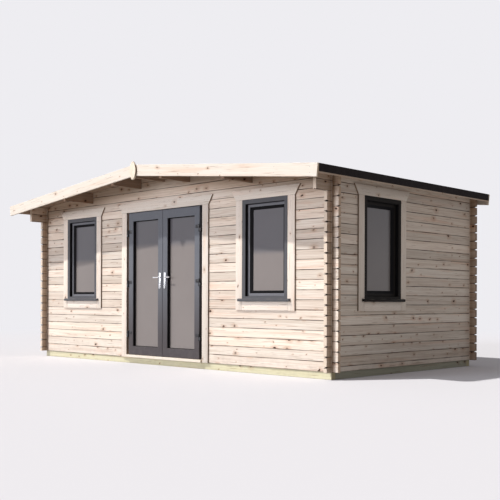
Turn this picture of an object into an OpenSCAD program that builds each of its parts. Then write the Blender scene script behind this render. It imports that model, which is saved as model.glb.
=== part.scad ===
// Log cabin: interlocking log walls, low apex roof, double doors and four fixed windows.
// Millimetres, +Z up, front towards -Y, origin on the ground under the middle of the roof.

/* [Walls] */
// Front wall, outer face to outer face of the side walls
wall_w = 5716; // [4700:1:6900]
// Side wall, outer face of the front wall to outer face of the back wall
wall_d = 2992; // [2600:1:4200]
// Thickness of a wall log
log_t = 44; // [36:1:60]
// Height of one log course
course_h = 114; // [100:1:140]
// How far the crossed log ends stand out past the wall faces
end_out = 88; // [50:1:140]
// Bevel on the long edges of each log
log_bevel = 5; // [2:0.5:8]
// Width of the tongue on each log
tongue_w = 12.5; // [8:0.5:18]
// Height of the tongue on each log
tongue_h = 7; // [4:0.5:12]
// Length of the tapered notch between two crossed log ends
notch_l = 34; // [10:1:60]
// Height of that notch at the end of the logs
notch_h = 20; // [6:1:36]

/* [Base] */
// Height of the bearers under the walls
bearer_h = 82; // [50:1:120]
// Width of a bearer
bearer_w = 70; // [44:1:100]
// Set back of the bearers from the wall faces
bearer_inset = 15; // [0:1:25]
// Width of a floor joist
joist_w = 44; // [34:1:60]
// Greatest distance between floor joists
joist_pitch = 620; // [400:10:700]
// Thickness of the floor boards
floor_t = 19; // [16:1:28]
// Gap between the floor boards and the walls
floor_gap = 5; // [2:1:12]

/* [Roof] */
// Fall of the roof per unit of width
roof_slope = 0.102; // [0.08:0.001:0.13]
// Height of the roof boards' underside at the ridge, in log courses
ridge_courses = 22.044; // [21.8:0.01:23]
// Thickness of the roof boards
roof_t = 19; // [16:1:28]
// Thickness of the felt
felt_t = 3; // [2:0.5:5]
// Overhang of the eaves past the side walls
eaves_out = 209; // [120:1:320]
// Overhang of the front bargeboards past the front wall
front_out = 505; // [300:1:700]
// Overhang of the back bargeboards past the back wall
back_out = 116; // [110:1:300]
// Upright height of a bargeboard
barge_h = 145; // [120:1:180]
// Thickness of a bargeboard
barge_t = 25; // [18:1:32]
// How far the bargeboards stand above the felt
barge_rise = 2; // [0:0.5:20]
// Thickness of the eaves boards
eaves_t = 19; // [16:1:28]
// Height of the eaves boards
eaves_h = 95; // [80:1:110]
// Height of the felt turned down over the eaves
felt_drop = 84; // [50:1:90]
// Width of a purlin
purlin_w = 44; // [34:1:70]
// Height of a purlin
purlin_h = 147; // [95:1:180]
// Distance of the inner purlins from the middle
purlin_in_x = 497; // [400:1:700]
// Distance of the outer purlins from the middle
purlin_out_x = 1620; // [1200:1:2000]
// How far the top side logs reach forward of the front wall
plate_out = 277; // [150:1:400]
// Width of the finial plate
finial_w = 126; // [90:1:160]
// Height of the finial plate
finial_h = 236; // [180:1:280]
// Width of the finial plate at its ends
finial_end = 12; // [6:1:60]
// Height of the middle of the finial above the bargeboards' top
finial_rise = 38; // [0:1:60]

/* [Doors] */
// Half the width of the door unit, outside its frame
door_half = 775; // [640:1:940]
// Width of a door jamb
jamb_w = 45; // [40:1:70]
// Top of the timber threshold above the foot of the walls
sill_h = 36; // [20:1:60]
// How far the threshold reaches forward of the wall
sill_nose = 42; // [20:1:80]
// Foot of the header trims over the doors and windows, in log courses
open_courses = 17.55; // [17.3:0.01:17.8]
// Thickness of a door leaf
leaf_t = 68; // [56:1:82]
// Stile and rail width at the sides of a leaf
stile_w = 95; // [80:1:120]
// Rail height at the top and bottom of a leaf
rail_h = 115; // [90:1:160]
// Clearance round each moving leaf
leaf_gap = 5; // [5:0.5:8]
// Bevel of a leaf's meeting edge
edge_bevel = 9; // [6:0.5:16]
// Set back of the door glass from the face of the leaf
door_recess = 46; // [20:1:50]
// Thickness of the door glass
pane_t = 14; // [6:1:24]
// How far the door glass reaches into the leaf's frame
pane_in = 12; // [6:1:20]
// Thickness of the stops the leaves close against
stop_t = 12; // [8:1:20]
// How far the stops lap behind the leaves
stop_lap = 16; // [10:1:30]
// How far the threshold's stop laps behind the leaves
sill_lap = 9; // [5:1:15]
// Distance of the end hinges from the top and bottom of a leaf
hinge_end = 280; // [150:1:400]
// Height of the lever spindles above the foot of the walls
lever_z = 1095; // [950:1:1200]
// Length of a lever handle
lever_l = 118; // [100:1:140]
// Distance of a lever spindle from the middle of the doorway
lever_x = 50; // [40:1:60]
// Stand-off of a lever from its back plate
lever_off = 48; // [40:1:60]
// Height of a lever handle's bar
lever_h = 20; // [16:1:24]
// Thickness of a lever handle's bar
lever_t = 14; // [10:1:18]
// Thickness of a lever's back plate
plate_t = 8; // [4:1:12]
// Width of a back plate
plate_w = 34; // [26:1:44]
// Length of a back plate above the spindle
plate_up = 65; // [30:1:90]
// Length of a back plate below the spindle
plate_down = 150; // [60:1:180]
// Length of one hinge knuckle
knuckle = 44; // [30:1:60]
// Radius of a hinge knuckle
knuckle_r = 8; // [6:0.5:12]
// Width of a hinge's plate on the leaf
hinge_w = 72; // [24:1:88]
// Thickness of a hinge's plate on the leaf
hinge_t = 5; // [3:0.5:8]

/* [Windows] */
// Width of a window unit
win_w = 732; // [600:1:900]
// Foot of a window unit above the foot of the walls, in log courses
win_courses = 6.9; // [5.9:0.01:9.9]
// Distance of the front windows from the middle
win_x = 1854; // [1500:1:2050]
// Distance of the side windows behind the front face
side_win_y = 936; // [700:1:2000]
// Face width of a window frame
win_face = 52; // [40:1:70]
// Face width of a window sash
sash_face = 66; // [30:1:80]
// Set back of the sash from the face of the frame
sash_recess = 42; // [20:1:50]
// Set back of the glass from the face of the sash
glass_recess = 32; // [15:1:40]
// Height of a window sill
win_sill_h = 26; // [15:1:40]
// How far a window sill runs past the frame at each end
win_sill_side = 48; // [20:1:80]
// How far a window sill reaches forward of the frame
win_sill_out = 32; // [15:1:50]
// Thickness of the window glass
win_pane_t = 8; // [4:1:14]
// Depth of a window unit
frame_d = 86; // [60:1:100]

/* [Trims] */
// Width of the trims round the openings
trim_w = 110; // [80:1:130]
// Thickness of the trims
trim_t = 20; // [12:1:25]
// Height of a header trim
header_h = 120; // [90:1:140]
// How far the ends of a header trim splay outwards
header_splay = 78; // [0:1:100]

/* [Hidden] */
$fn = 48;
gap = 0.4;
fit = 0.3;
seat = 0.05;
over = 30;
settle = 2;
base = bearer_h;
h = course_h;
span_y = front_out + wall_d + back_out;
front_y = front_out - span_y / 2;
back_y = front_y + wall_d;
half_w = wall_w / 2;
roof_half = half_w + eaves_out;
barge_front = front_y - front_out;
barge_back = back_y + back_out;
deck_y0 = barge_front + barge_t;
deck_y1 = barge_back - barge_t;
ridge_z = ridge_courses * h;
plate_z = ridge_z - roof_slope * half_w;
open_top = open_courses * h;
top_course = floor(open_courses);
gable_last = ceil(ridge_z / h - 0.3) - 1;
side_last = ceil(plate_z / h + 0.2) - 1;
leaf_top = open_top - 2 * leaf_gap;
unit_top = (top_course + 1) * h - settle;
win_z0 = win_courses * h;
win_z1 = open_top - settle;
door_cut = door_half + 3;
leaf_half = door_half - jamb_w - leaf_gap;
leaf_bot = sill_h + leaf_gap;
leaf_y0 = front_y - trim_t;
leaf_y1 = leaf_y0 + leaf_t;
pin_r = 3;
pin_x = leaf_half + leaf_gap / 2;
pin_y = leaf_y0 - knuckle_r - 2;
bracket = 14;
bracket_t = 8;
stop_y = leaf_y1 + leaf_gap + 1;
unit_y1 = stop_y + stop_t;
sill_y1 = unit_y1 + 4;
jamb_y0 = front_y + trim_t;
hinge_zs = [leaf_bot + hinge_end, (leaf_bot + leaf_top) / 2, leaf_top - hinge_end];
win_cut = 3;
spindle_r = 5;
spindle_hole = 8;
running = 0.05;
play = 0.5;
barge_top = ridge_z + roof_t + felt_t + barge_rise;
front_mid = front_y + log_t / 2;
back_mid = back_y - log_t / 2;
side_mid = half_w - log_t / 2;
wx = half_w + end_out;
deck_x = roof_half - felt_t - eaves_t;
eaves_top = ridge_z + roof_t - roof_slope * roof_half;

function under(x) = base + ridge_z - roof_slope * abs(x);

// Section of one log: bevelled edges, a tongue on top and a groove below.
module log_section(z0, z1, groove, tongue) {
    a = log_t / 2;
    c = log_bevel;
    tw = tongue_w / 2;
    td = tongue_h;
    b0 = z0 + (groove ? gap / 2 : 0);
    b1 = z1 - gap / 2;
    low = groove
        ? [[-a + c, b0], [-tw - fit, b0], [-tw - fit, b0 + td + fit],
           [tw + fit, b0 + td + fit], [tw + fit, b0], [a - c, b0]]
        : [[-a + c, b0], [a - c, b0]];
    high = tongue
        ? [[a - c, b1], [tw, b1], [tw, b1 + td], [-tw, b1 + td], [-tw, b1], [-a + c, b1]]
        : [[a - c, b1], [-a + c, b1]];
    polygon(concat(low, [[a, b0 + c], [a, b1 - c]], high, [[-a, b1 - c], [-a, b0 + c]]));
}

// A log along X between x0 and x1, its middle at y.
module log_x(x0, x1, y, z0, z1, groove = true, tongue = true) {
    translate([x0, y, base])
        rotate([90, 0, 90])
            linear_extrude(x1 - x0)
                log_section(z0, z1, groove, tongue);
}

// A log along Y between y0 and y1, its middle at x.
module log_y(y0, y1, x, z0, z1, groove = true, tongue = true) {
    translate([x, y1, base])
        rotate([90, 0, 0])
            linear_extrude(y1 - y0)
                log_section(z0, z1, groove, tongue);
}

// Notches in a log from z0 to z1 where another log crosses at (x, y).
module cross_cut(x, y, z0, z1) {
    w = log_t + 2 * gap;
    translate([x - w / 2, y - w / 2, base + z0 - over])
        cube([w, w, over + h / 4 + gap / 2]);
    translate([x - w / 2, y - w / 2, base + z1 - h / 4 - gap / 2])
        cube([w, w, h / 4 + over]);
}

// The tapered notch where two log ends meet at height z. a turns it outwards from +X.
module end_notch(x, y, a, z) {
    k = notch_h / 2 * (notch_l + over) / notch_l;
    translate([x, y, base + z])
        rotate([90, 0, a])
            linear_extrude(log_t + over, center = true)
                polygon([[-notch_l, 0], [over, -k], [over, k]]);
}

// A box with its heights measured from the foot of the walls.
module box(x0, x1, y0, y1, z0, z1) {
    translate([x0, y0, base + z0])
        cube([x1 - x0, y1 - y0, z1 - z0]);
}

// The same on the right (s = 1) or mirrored to the left (s = -1).
module side_box(s, x0, x1, y0, y1, z0, z1) {
    box(min(s * x0, s * x1), max(s * x0, s * x1), y0, y1, z0, z1);
}

// Everything under the roof boards, used to cut the gable logs to the slope.
module under_roof(y0, y1, drop) {
    x = roof_half + over;
    translate([0, y1, 0])
        rotate([90, 0, 0])
            linear_extrude(y1 - y0)
                polygon([[-x, 0], [x, 0], [x, under(x) - drop], [0, under(0) - drop],
                         [-x, under(x) - drop]]);
}

// Front wall logs on one side of the doorway, with the window cut out. s is -1 or 1.
module front_half(s) {
    x_out = s * wx;
    x_in = s * door_cut;
    for (k = [0 : top_course - 1])
        difference() {
            log_x(min(x_out, x_in), max(x_out, x_in), front_mid, k * h, (k + 1) * h,
                  k > 0, true);
            cross_cut(s * side_mid, front_mid, k * h, (k + 1) * h);
            window_cut_x(s * win_x, front_y);
            for (z = k > 0 ? [k * h, (k + 1) * h] : [h])
                end_notch(x_out, front_mid, s > 0 ? 0 : 180, z);
        }
}

module window_cut_x(x, y) {
    box(x - win_w / 2 - win_cut, x + win_w / 2 + win_cut, y - over, y + log_t + over,
        win_z0 - win_cut, win_z1 + win_cut);
}

module front_wall_left() {
    color("#e8d5b5")
        front_half(-1);
}

module front_wall_right() {
    color("#e8d5b5")
        front_half(1);
}

module purlin_cuts(y0, y1) {
    w = purlin_w / 2 + gap;
    for (x = [-purlin_out_x, -purlin_in_x, 0, purlin_in_x, purlin_out_x])
        box(x - w, x + w, y0, y1, ridge_z - roof_slope * abs(x) - purlin_h - gap,
            ridge_z + over);
}

// Logs above the openings, cut to the roof slope and round the purlins.
module gable(mid, door) {
    y0 = mid - log_t / 2 - over;
    y1 = mid + log_t / 2 + over;
    difference() {
        intersection() {
            union() {
                for (k = [top_course : gable_last])
                    difference() {
                        log_x(-wx, wx, mid, k * h, (k < gable_last ? k + 1 : k + 1.5) * h,
                              true, k < gable_last);
                        for (s = [-1, 1]) {
                            cross_cut(s * side_mid, mid, k * h, (k + 1) * h);
                            for (z = [k * h, (k + 1) * h])
                                end_notch(s * wx, mid, s > 0 ? 0 : 180, z);
                        }
                        if (door && k == top_course)
                            box(-door_cut, door_cut, y0, y1, k * h - over, (k + 1) * h);
                    }
            }
            under_roof(y0, y1, fit);
        }
        purlin_cuts(y0, y1);
        if (door)
            for (s = [-1, 1])
                window_cut_x(s * win_x, front_y);
    }
}

module front_gable() {
    color("#e8d5b5")
        gable(front_mid, true);
}

module back_gable() {
    color("#e8d5b5")
        gable(back_mid, false);
}

module back_wall() {
    color("#e8d5b5")
        for (k = [0 : top_course - 1])
            difference() {
                log_x(-wx, wx, back_mid, k * h, (k + 1) * h, k > 0, true);
                for (s = [-1, 1]) {
                    cross_cut(s * side_mid, back_mid, k * h, (k + 1) * h);
                    for (z = k > 0 ? [k * h, (k + 1) * h] : [h])
                        end_notch(s * wx, back_mid, s > 0 ? 0 : 180, z);
                }
            }
}

// Side wall logs start with a half log, so their seams fall half way up the front logs.
module side_wall(s) {
    x = s * side_mid;
    y1 = back_y + end_out;
    difference() {
        union() {
            difference() {
                log_y(front_y - end_out, y1, x, 0, h / 2, false, true);
                for (y = [front_mid, back_mid])
                    cross_cut(x, y, -h / 2, h / 2);
                end_notch(x, front_y - end_out, -90, h / 2);
                end_notch(x, y1, 90, h / 2);
            }
            for (k = [1 : side_last])
                difference() {
                    log_y(front_y - (k > top_course ? plate_out : end_out), y1, x,
                          (k - 0.5) * h, (k < side_last ? k + 0.5 : k + 1) * h, true,
                          k < side_last);
                    for (y = [front_mid, back_mid])
                        cross_cut(x, y, (k - 0.5) * h, (k + 0.5) * h);
                    for (z = [(k - 0.5) * h, (k + 0.5) * h]) {
                        if (z < (top_course + 0.4) * h)
                            end_notch(x, front_y - end_out, -90, z);
                        end_notch(x, y1, 90, z);
                    }
                }
        }
        box(x - log_t, x + log_t, front_y + side_win_y - win_w / 2 - win_cut,
            front_y + side_win_y + win_w / 2 + win_cut, win_z0 - win_cut, win_z1 + win_cut);
        roof_cut(front_y - plate_out - over, y1 + over);
    }
}

// The space above the underside of the roof boards.
module roof_cut(y0, y1) {
    x = roof_half + over;
    t = under(0) + h;
    translate([0, y1, 0])
        rotate([90, 0, 0])
            linear_extrude(y1 - y0)
                polygon([[-x, under(x) - fit], [0, under(0) - fit], [x, under(x) - fit],
                         [x, t], [-x, t]]);
}

module left_wall() {
    color("#e8d5b5")
        side_wall(-1);
}

module right_wall() {
    color("#e8d5b5")
        side_wall(1);
}

module front_bearer() {
    color("#c9cf9c")
        box(-half_w + bearer_inset, half_w - bearer_inset, front_y + bearer_inset,
            front_y + bearer_inset + bearer_w, -base, 0);
}

module back_bearer() {
    color("#c9cf9c")
        box(-half_w + bearer_inset, half_w - bearer_inset,
            back_y - bearer_inset - bearer_w, back_y - bearer_inset, -base, 0);
}

module side_bearers() {
    a = half_w - bearer_inset;
    color("#c9cf9c")
        for (s = [-1, 1])
            side_box(s, a - bearer_w, a,
                front_y + bearer_inset + bearer_w, back_y - bearer_inset - bearer_w,
                -base, 0);
}

module floor_joists() {
    a = half_w - bearer_inset - bearer_w;
    n = ceil(2 * a / joist_pitch);
    color("#c9cf9c")
        for (i = [1 : n - 1])
            box(-a + (i / n) * 2 * a - joist_w / 2, -a + (i / n) * 2 * a + joist_w / 2,
                front_y + bearer_inset + bearer_w, back_y - bearer_inset - bearer_w,
                -base, 0);
}

module floor_boards() {
    a = half_w - log_t - floor_gap;
    color("#d9c39b")
        difference() {
            box(-a, a, front_y + log_t + floor_gap, back_y - log_t - floor_gap, 0, floor_t);
            box(-door_cut, door_cut, front_y, sill_y1 + 1, -over, floor_t + over);
        }
}

module purlin(x) {
    w = purlin_w / 2;
    z = ridge_z - roof_slope * abs(x);
    intersection() {
        box(x - w, x + w, deck_y0, deck_y1, z - purlin_h, z + over);
        under_roof(deck_y0, deck_y1, seat);
    }
}

module ridge_purlin() {
    color("#e3cda9")
        purlin(0);
}

module side_purlins() {
    color("#e3cda9")
        for (x = [-purlin_out_x, -purlin_in_x, purlin_in_x, purlin_out_x])
            purlin(x);
}

// One side of a layer laid on the roof slope. s is -1 or 1.
module roof_layer(s, x0, x1, z0, t, y0, y1) {
    translate([0, y1, base])
        rotate([90, 0, 0])
            linear_extrude(y1 - y0)
                polygon([[s * x0, z0 - roof_slope * x0], [s * x1, z0 - roof_slope * x1],
                         [s * x1, z0 + t - roof_slope * x1], [s * x0, z0 + t - roof_slope * x0]]);
}

module left_roof_boards() {
    color("#dcc6a0")
        roof_layer(-1, 0, deck_x, ridge_z, roof_t, deck_y0, deck_y1);
}

module right_roof_boards() {
    color("#dcc6a0")
        roof_layer(1, 0, deck_x, ridge_z, roof_t, deck_y0, deck_y1);
}

module eaves_boards() {
    color("#dcc6a0")
        for (s = [-1, 1])
            translate([0, deck_y1, base])
                rotate([90, 0, 0])
                    linear_extrude(deck_y1 - deck_y0)
                        polygon([[s * deck_x, ridge_z + roof_t - roof_slope * deck_x],
                                 [s * (roof_half - felt_t), eaves_top + roof_slope * felt_t],
                                 [s * (roof_half - felt_t), eaves_top - eaves_h],
                                 [s * deck_x, eaves_top - eaves_h]]);
}

module roof_felt() {
    z = ridge_z + roof_t + seat;
    color("#2b2729")
        for (s = [-1, 1]) {
            roof_layer(s, fit, roof_half - felt_t - fit, z, felt_t, deck_y0, deck_y1);
            roof_layer(s, roof_half - felt_t + seat, roof_half, z + felt_t - felt_drop, felt_drop,
                       deck_y0, deck_y1);
        }
}

// A pair of bargeboards meeting at the ridge, their feet cut square to the slope.
module barge_pair(y0) {
    z1 = barge_top;
    z0 = z1 - barge_h;
    foot = barge_h * roof_slope;
    for (s = [-1, 1])
        translate([0, y0 + barge_t, base])
            rotate([90, 0, 0])
                linear_extrude(barge_t)
                    polygon([[s * fit, z0 - roof_slope * fit],
                             [s * (roof_half - foot), z0 - roof_slope * (roof_half - foot)],
                             [s * roof_half, z1 - roof_slope * roof_half],
                             [s * fit, z1 - roof_slope * fit]]);
}

module front_bargeboards() {
    color("#f0e2c8")
        barge_pair(barge_front);
}

module back_bargeboards() {
    color("#f0e2c8")
        barge_pair(barge_back - barge_t);
}

// A shaped plate over the joint of two bargeboards, bulging at its sides.
module finial(y0) {
    d = (finial_w - finial_end) / 2;
    r = (d * d + finial_h * finial_h / 4) / (2 * d);
    translate([0, y0 + barge_t, base + barge_top + finial_rise - finial_h / 2])
        rotate([90, 0, 0])
            linear_extrude(barge_t)
                intersection() {
                    translate([r - finial_w / 2, 0])
                        circle(r, $fn = 96);
                    translate([finial_w / 2 - r, 0])
                        circle(r, $fn = 96);
                    square([finial_w, finial_h], center = true);
                }
}

module front_finial() {
    color("#f0e2c8")
        finial(barge_front - barge_t);
}

module back_finial() {
    color("#f0e2c8")
        finial(barge_back);
}

// Fixed door frame: jambs, head and the stops the leaves close against.
module door_frame() {
    ji = door_half - jamb_w;
    y0 = jamb_y0;
    ys = stop_y;
    y1 = unit_y1;
    color("#4a4b52") {
        for (s = [-1, 1]) {
            side_box(s, ji, door_half, y0, y1, sill_h, unit_top);
            side_box(s, leaf_half - stop_lap, ji - fit, ys, y1,
                leaf_bot + sill_lap + fit, leaf_top - stop_lap);
        }
        box(-ji + fit, ji - fit, y0, y1, leaf_top + leaf_gap, unit_top);
        box(-ji + fit, ji - fit, ys, y1, leaf_top - stop_lap + fit, leaf_top + leaf_gap - fit);
        box(-ji + fit, ji - fit, ys, y1, sill_h, leaf_bot + sill_lap);
    }
}

module door_sill() {
    color("#efe0c4")
        box(-door_half, door_half, front_y - sill_nose, sill_y1, 0, sill_h);
}

// Raised trims each side of an opening and a header with splayed ends, in the XZ plane.
module trim_set(half, z0, z1, bottom) {
    for (s = [-1, 1])
        translate([s > 0 ? half : -half - trim_w, 0, base + z0])
            cube([trim_w, trim_t, z1 - z0 - gap]);
    translate([0, trim_t, base + z1])
        rotate([90, 0, 0])
            linear_extrude(trim_t)
                polygon([[-half - trim_w, 0], [half + trim_w, 0],
                         [half + trim_w + header_splay, header_h],
                         [-half - trim_w - header_splay, header_h]]);
    if (bottom > 0)
        translate([-half + gap, 0, base + z0])
            cube([2 * half - 2 * gap, trim_t, bottom]);
}

module door_trim() {
    color("#f0e2c8")
        translate([0, front_y - trim_t, 0])
            trim_set(door_half, 0, open_top, 0);
}

// Stiles and rails of a door leaf, grooved for the glass. s is -1 or 1.
module leaf(s) {
    a = leaf_gap / 2;
    r = a + stile_w;
    difference() {
        union() {
            translate([0, 0, base + leaf_bot])
                linear_extrude(leaf_top - leaf_bot)
                    polygon([[s * a, leaf_y0], [s * r, leaf_y0], [s * r, leaf_y1],
                             [s * (a + edge_bevel), leaf_y1]]);
            side_box(s, leaf_half - stile_w, leaf_half, leaf_y0, leaf_y1, leaf_bot, leaf_top);
            for (z = [leaf_bot, leaf_top - rail_h])
                side_box(s, r + fit, leaf_half - stile_w - fit, leaf_y0, leaf_y1, z, z + rail_h);
        }
        side_box(s, r - pane_in, leaf_half - stile_w + pane_in,
            leaf_y0 + door_recess - fit, leaf_y0 + door_recess + pane_t + fit,
            leaf_bot + rail_h - pane_in, leaf_top - rail_h + pane_in);
        translate([s * lever_x, leaf_y0 - over, base + lever_z])
            rotate([-90, 0, 0])
                cylinder(r = spindle_hole, h = leaf_t + 2 * over);
    }
}

module left_door_leaf() {
    color("#4a4b52")
        leaf(-1);
}

module right_door_leaf() {
    color("#4a4b52")
        leaf(1);
}

module pane(s) {
    i = stile_w - pane_in + fit;
    side_box(s, leaf_gap / 2 + i, leaf_half - i, leaf_y0 + door_recess,
        leaf_y0 + door_recess + pane_t, leaf_bot + rail_h - pane_in + fit,
        leaf_top - rail_h + pane_in - fit);
}

module left_door_glass() {
    color("#9a918c")
        pane(-1);
}

module right_door_glass() {
    color("#9a918c")
        pane(1);
}

// Back plates on both faces of a leaf, bored for the spindle.
module plates(s) {
    for (y = [leaf_y0 - plate_t, leaf_y1])
        difference() {
            box(s * lever_x - plate_w / 2, s * lever_x + plate_w / 2, y, y + plate_t,
                lever_z - plate_down, lever_z + plate_up);
            translate([s * lever_x, y - over, base + lever_z])
                rotate([-90, 0, 0])
                    cylinder(r = spindle_r + running, h = plate_t + 2 * over);
        }
}

module left_door_plates() {
    color("#d8d9dc")
        plates(-1);
}

module right_door_plates() {
    color("#d8d9dc")
        plates(1);
}

// Inside and outside levers on one spindle through the leaf.
module lever(s) {
    r = lever_h / 2;
    y_out = leaf_y0 - plate_t - lever_off;
    y_in = leaf_y1 + plate_t + lever_off;
    translate([s * lever_x, 0, base + lever_z]) {
        translate([0, y_out + spindle_r, 0])
            rotate([-90, 0, 0])
                cylinder(r = spindle_r, h = y_in - y_out - 2 * spindle_r);
        for (y = [y_out, y_in - lever_off + play])
            translate([0, y, 0])
                rotate([-90, 0, 0])
                    cylinder(r = r, h = lever_off - play);
        for (y = [y_out, y_in - lever_t])
            translate([0, y, 0]) {
                translate([s > 0 ? 0 : -lever_l + r, 0, -r])
                    cube([lever_l - r, lever_t, lever_h]);
                translate([s * (lever_l - r), 0, 0])
                    rotate([-90, 0, 0])
                        cylinder(r = r, h = lever_t);
            }
    }
}

module left_door_lever() {
    color("#d8d9dc")
        lever(-1);
}

module right_door_lever() {
    color("#d8d9dc")
        lever(1);
}

// Hinge halves fixed to the frame: a lower knuckle with its pin and a bracket.
module frame_hinges() {
    x1 = pin_x + knuckle_r + bracket + bracket_t;
    color("#1d1b1f")
        for (s = [-1, 1], z = hinge_zs) {
            translate([s * pin_x, pin_y, base + z - knuckle]) {
                cylinder(r = knuckle_r, h = knuckle - play);
                cylinder(r = pin_r, h = 2 * knuckle - 4);
            }
            side_box(s, pin_x, x1, pin_y - bracket_t / 2, pin_y + bracket_t / 2,
                z - knuckle, z - play);
            side_box(s, x1 - bracket, x1, pin_y, jamb_y0, z - knuckle, z - play);
        }
}

// Hinge halves fixed to a leaf: an upper knuckle bored for the pin and a plate.
module leaf_hinges(s) {
    for (z = hinge_zs)
        difference() {
            union() {
                translate([s * pin_x, pin_y, base + z + play])
                    cylinder(r = knuckle_r, h = knuckle - play);
                side_box(s, pin_x - hinge_w, pin_x + 2, leaf_y0 - hinge_t, leaf_y0,
                    z + play, z + knuckle);
            }
            translate([s * pin_x, pin_y, base + z - over])
                cylinder(r = pin_r + running, h = knuckle + 2 * over);
        }
}

module left_leaf_hinges() {
    color("#1d1b1f")
        leaf_hinges(-1);
}

module right_leaf_hinges() {
    color("#1d1b1f")
        leaf_hinges(1);
}

// Four members of a rectangular frame in the XZ plane, from y 0 to d.
module ring(w, z0, z1, face, d) {
    for (s = [-1, 1])
        translate([s > 0 ? w / 2 - face : -w / 2, 0, base + z0])
            cube([face, d, z1 - z0]);
    for (z = [z0, z1 - face])
        translate([-w / 2 + face + fit, 0, base + z])
            cube([w - 2 * face - 2 * fit, d, face]);
}

// Window unit facing -Y, its outer face at y 0: frame with its sill.
module window_frame() {
    ring(win_w, win_z0, win_z1, win_face, frame_d);
    translate([-win_w / 2 - win_sill_side, -win_sill_out, base + win_z0])
        cube([win_w + 2 * win_sill_side, win_sill_out - fit, win_sill_h]);
}

module window_sash() {
    translate([0, sash_recess, 0])
        ring(win_w - 2 * win_face - 2 * fit, win_z0 + win_face + fit,
             win_z1 - win_face - fit, sash_face, frame_d - sash_recess);
}

module window_pane() {
    w = win_w - 2 * win_face - 2 * sash_face - 4 * fit;
    translate([-w / 2, sash_recess + glass_recess,
               base + win_z0 + win_face + sash_face + 2 * fit])
        cube([w, win_pane_t, win_z1 - win_z0 - 2 * win_face - 2 * sash_face - 4 * fit]);
}

module window_trim() {
    trim_set(win_w / 2 + gap, win_z0 - h, open_top, h - 2);
}

// Copies of a part facing -Y set in the front wall, or turned into the side walls.
module at_front() {
    for (s = [-1, 1])
        translate([s * win_x, front_y - trim_t, 0])
            children();
}

module at_sides() {
    for (s = [-1, 1])
        translate([s * (half_w + trim_t), front_y + side_win_y, 0])
            rotate([0, 0, s * 90])
                children();
}

module front_window_frames() {
    color("#4a4b52")
        at_front()
            window_frame();
}

module front_window_sashes() {
    color("#4a4b52")
        at_front()
            window_sash();
}

module front_window_glass() {
    color("#9a918c")
        at_front()
            window_pane();
}

module front_window_trims() {
    color("#f0e2c8")
        at_front()
            window_trim();
}

module side_window_frames() {
    color("#4a4b52")
        at_sides()
            window_frame();
}

module side_window_sashes() {
    color("#4a4b52")
        at_sides()
            window_sash();
}

module side_window_glass() {
    color("#9a918c")
        at_sides()
            window_pane();
}

module side_window_trims() {
    color("#f0e2c8")
        at_sides()
            window_trim();
}

front_bearer();
back_bearer();
side_bearers();
floor_joists();
floor_boards();
front_wall_left();
front_wall_right();
front_gable();
back_wall();
back_gable();
left_wall();
right_wall();
ridge_purlin();
side_purlins();
left_roof_boards();
right_roof_boards();
roof_felt();
eaves_boards();
front_bargeboards();
back_bargeboards();
front_finial();
back_finial();
door_frame();
door_trim();
door_sill();
left_door_leaf();
right_door_leaf();
left_door_glass();
right_door_glass();
left_door_plates();
right_door_plates();
left_door_lever();
right_door_lever();
frame_hinges();
left_leaf_hinges();
right_leaf_hinges();
front_window_frames();
front_window_sashes();
front_window_glass();
front_window_trims();
side_window_frames();
side_window_sashes();
side_window_glass();
side_window_trims();
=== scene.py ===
# Log cabin: planed pine logs, anthracite doors and windows, felted roof.
# Metres, +Z up, front towards -Y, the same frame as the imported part.
import math

import bpy
from mathutils import Matrix, Vector


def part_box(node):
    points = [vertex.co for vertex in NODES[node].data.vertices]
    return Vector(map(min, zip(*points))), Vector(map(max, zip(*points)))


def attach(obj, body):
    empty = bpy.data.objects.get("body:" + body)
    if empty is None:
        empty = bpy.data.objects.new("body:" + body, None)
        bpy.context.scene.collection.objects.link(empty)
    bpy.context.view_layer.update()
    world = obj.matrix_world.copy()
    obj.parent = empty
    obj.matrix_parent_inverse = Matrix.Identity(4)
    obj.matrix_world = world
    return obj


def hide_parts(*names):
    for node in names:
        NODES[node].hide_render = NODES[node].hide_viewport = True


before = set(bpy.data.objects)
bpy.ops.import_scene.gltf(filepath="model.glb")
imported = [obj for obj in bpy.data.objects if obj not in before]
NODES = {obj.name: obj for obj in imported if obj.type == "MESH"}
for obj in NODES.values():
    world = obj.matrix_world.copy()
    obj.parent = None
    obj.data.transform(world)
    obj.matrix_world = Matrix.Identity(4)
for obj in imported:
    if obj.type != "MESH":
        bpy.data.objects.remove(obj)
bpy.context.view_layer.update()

COURSE = 0.114            # height of one log
LOG_T = 0.044             # thickness of one log
WALL_FOOT = 0.082         # top of the bearers
ROOF_SLOPE = 0.102        # fall per unit of width
HINGE_END = 0.28          # end hinges from the top and bottom of a leaf
HINGE_W = 0.072           # hinge plates, from the pin
LEVER_Z = 1.177           # height of the lever spindles
LEVER_X = 0.050           # spindles from the middle of the doorway
LEAF_FACE = 0.095         # stiles of a door leaf
RAIL_EXTRA = 0.020        # rails taller than the stiles are wide
WINDOW_FACE = 0.052       # face of a window frame
SASH_FACE = 0.066         # face of a window sash, its glazing bead included
SASH_BACK = 0.042         # sashes behind the face of their frames
PANE_T = 0.004            # each pane of a sealed unit
HEAD_SUNK = 0.001         # heads of screws and nails, into the wood or metal
FELT_SHEETS = 4           # sheets of felt on each slope
FELT_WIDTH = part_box("roof_felt")[1].x / FELT_SHEETS
FELT_LAP = 0.07           # each sheet over the next one down
PAPER = (0.855, 0.847, 0.880)
CAMERA_AT = (8.719, -8.6245, 0.866)
CAMERA_TURN = 0.7709      # about Z, from looking along +Y
CAMERA_ROLL = 0.0034


# ---------------------------------------------------------------- camera, lights, floor

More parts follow.
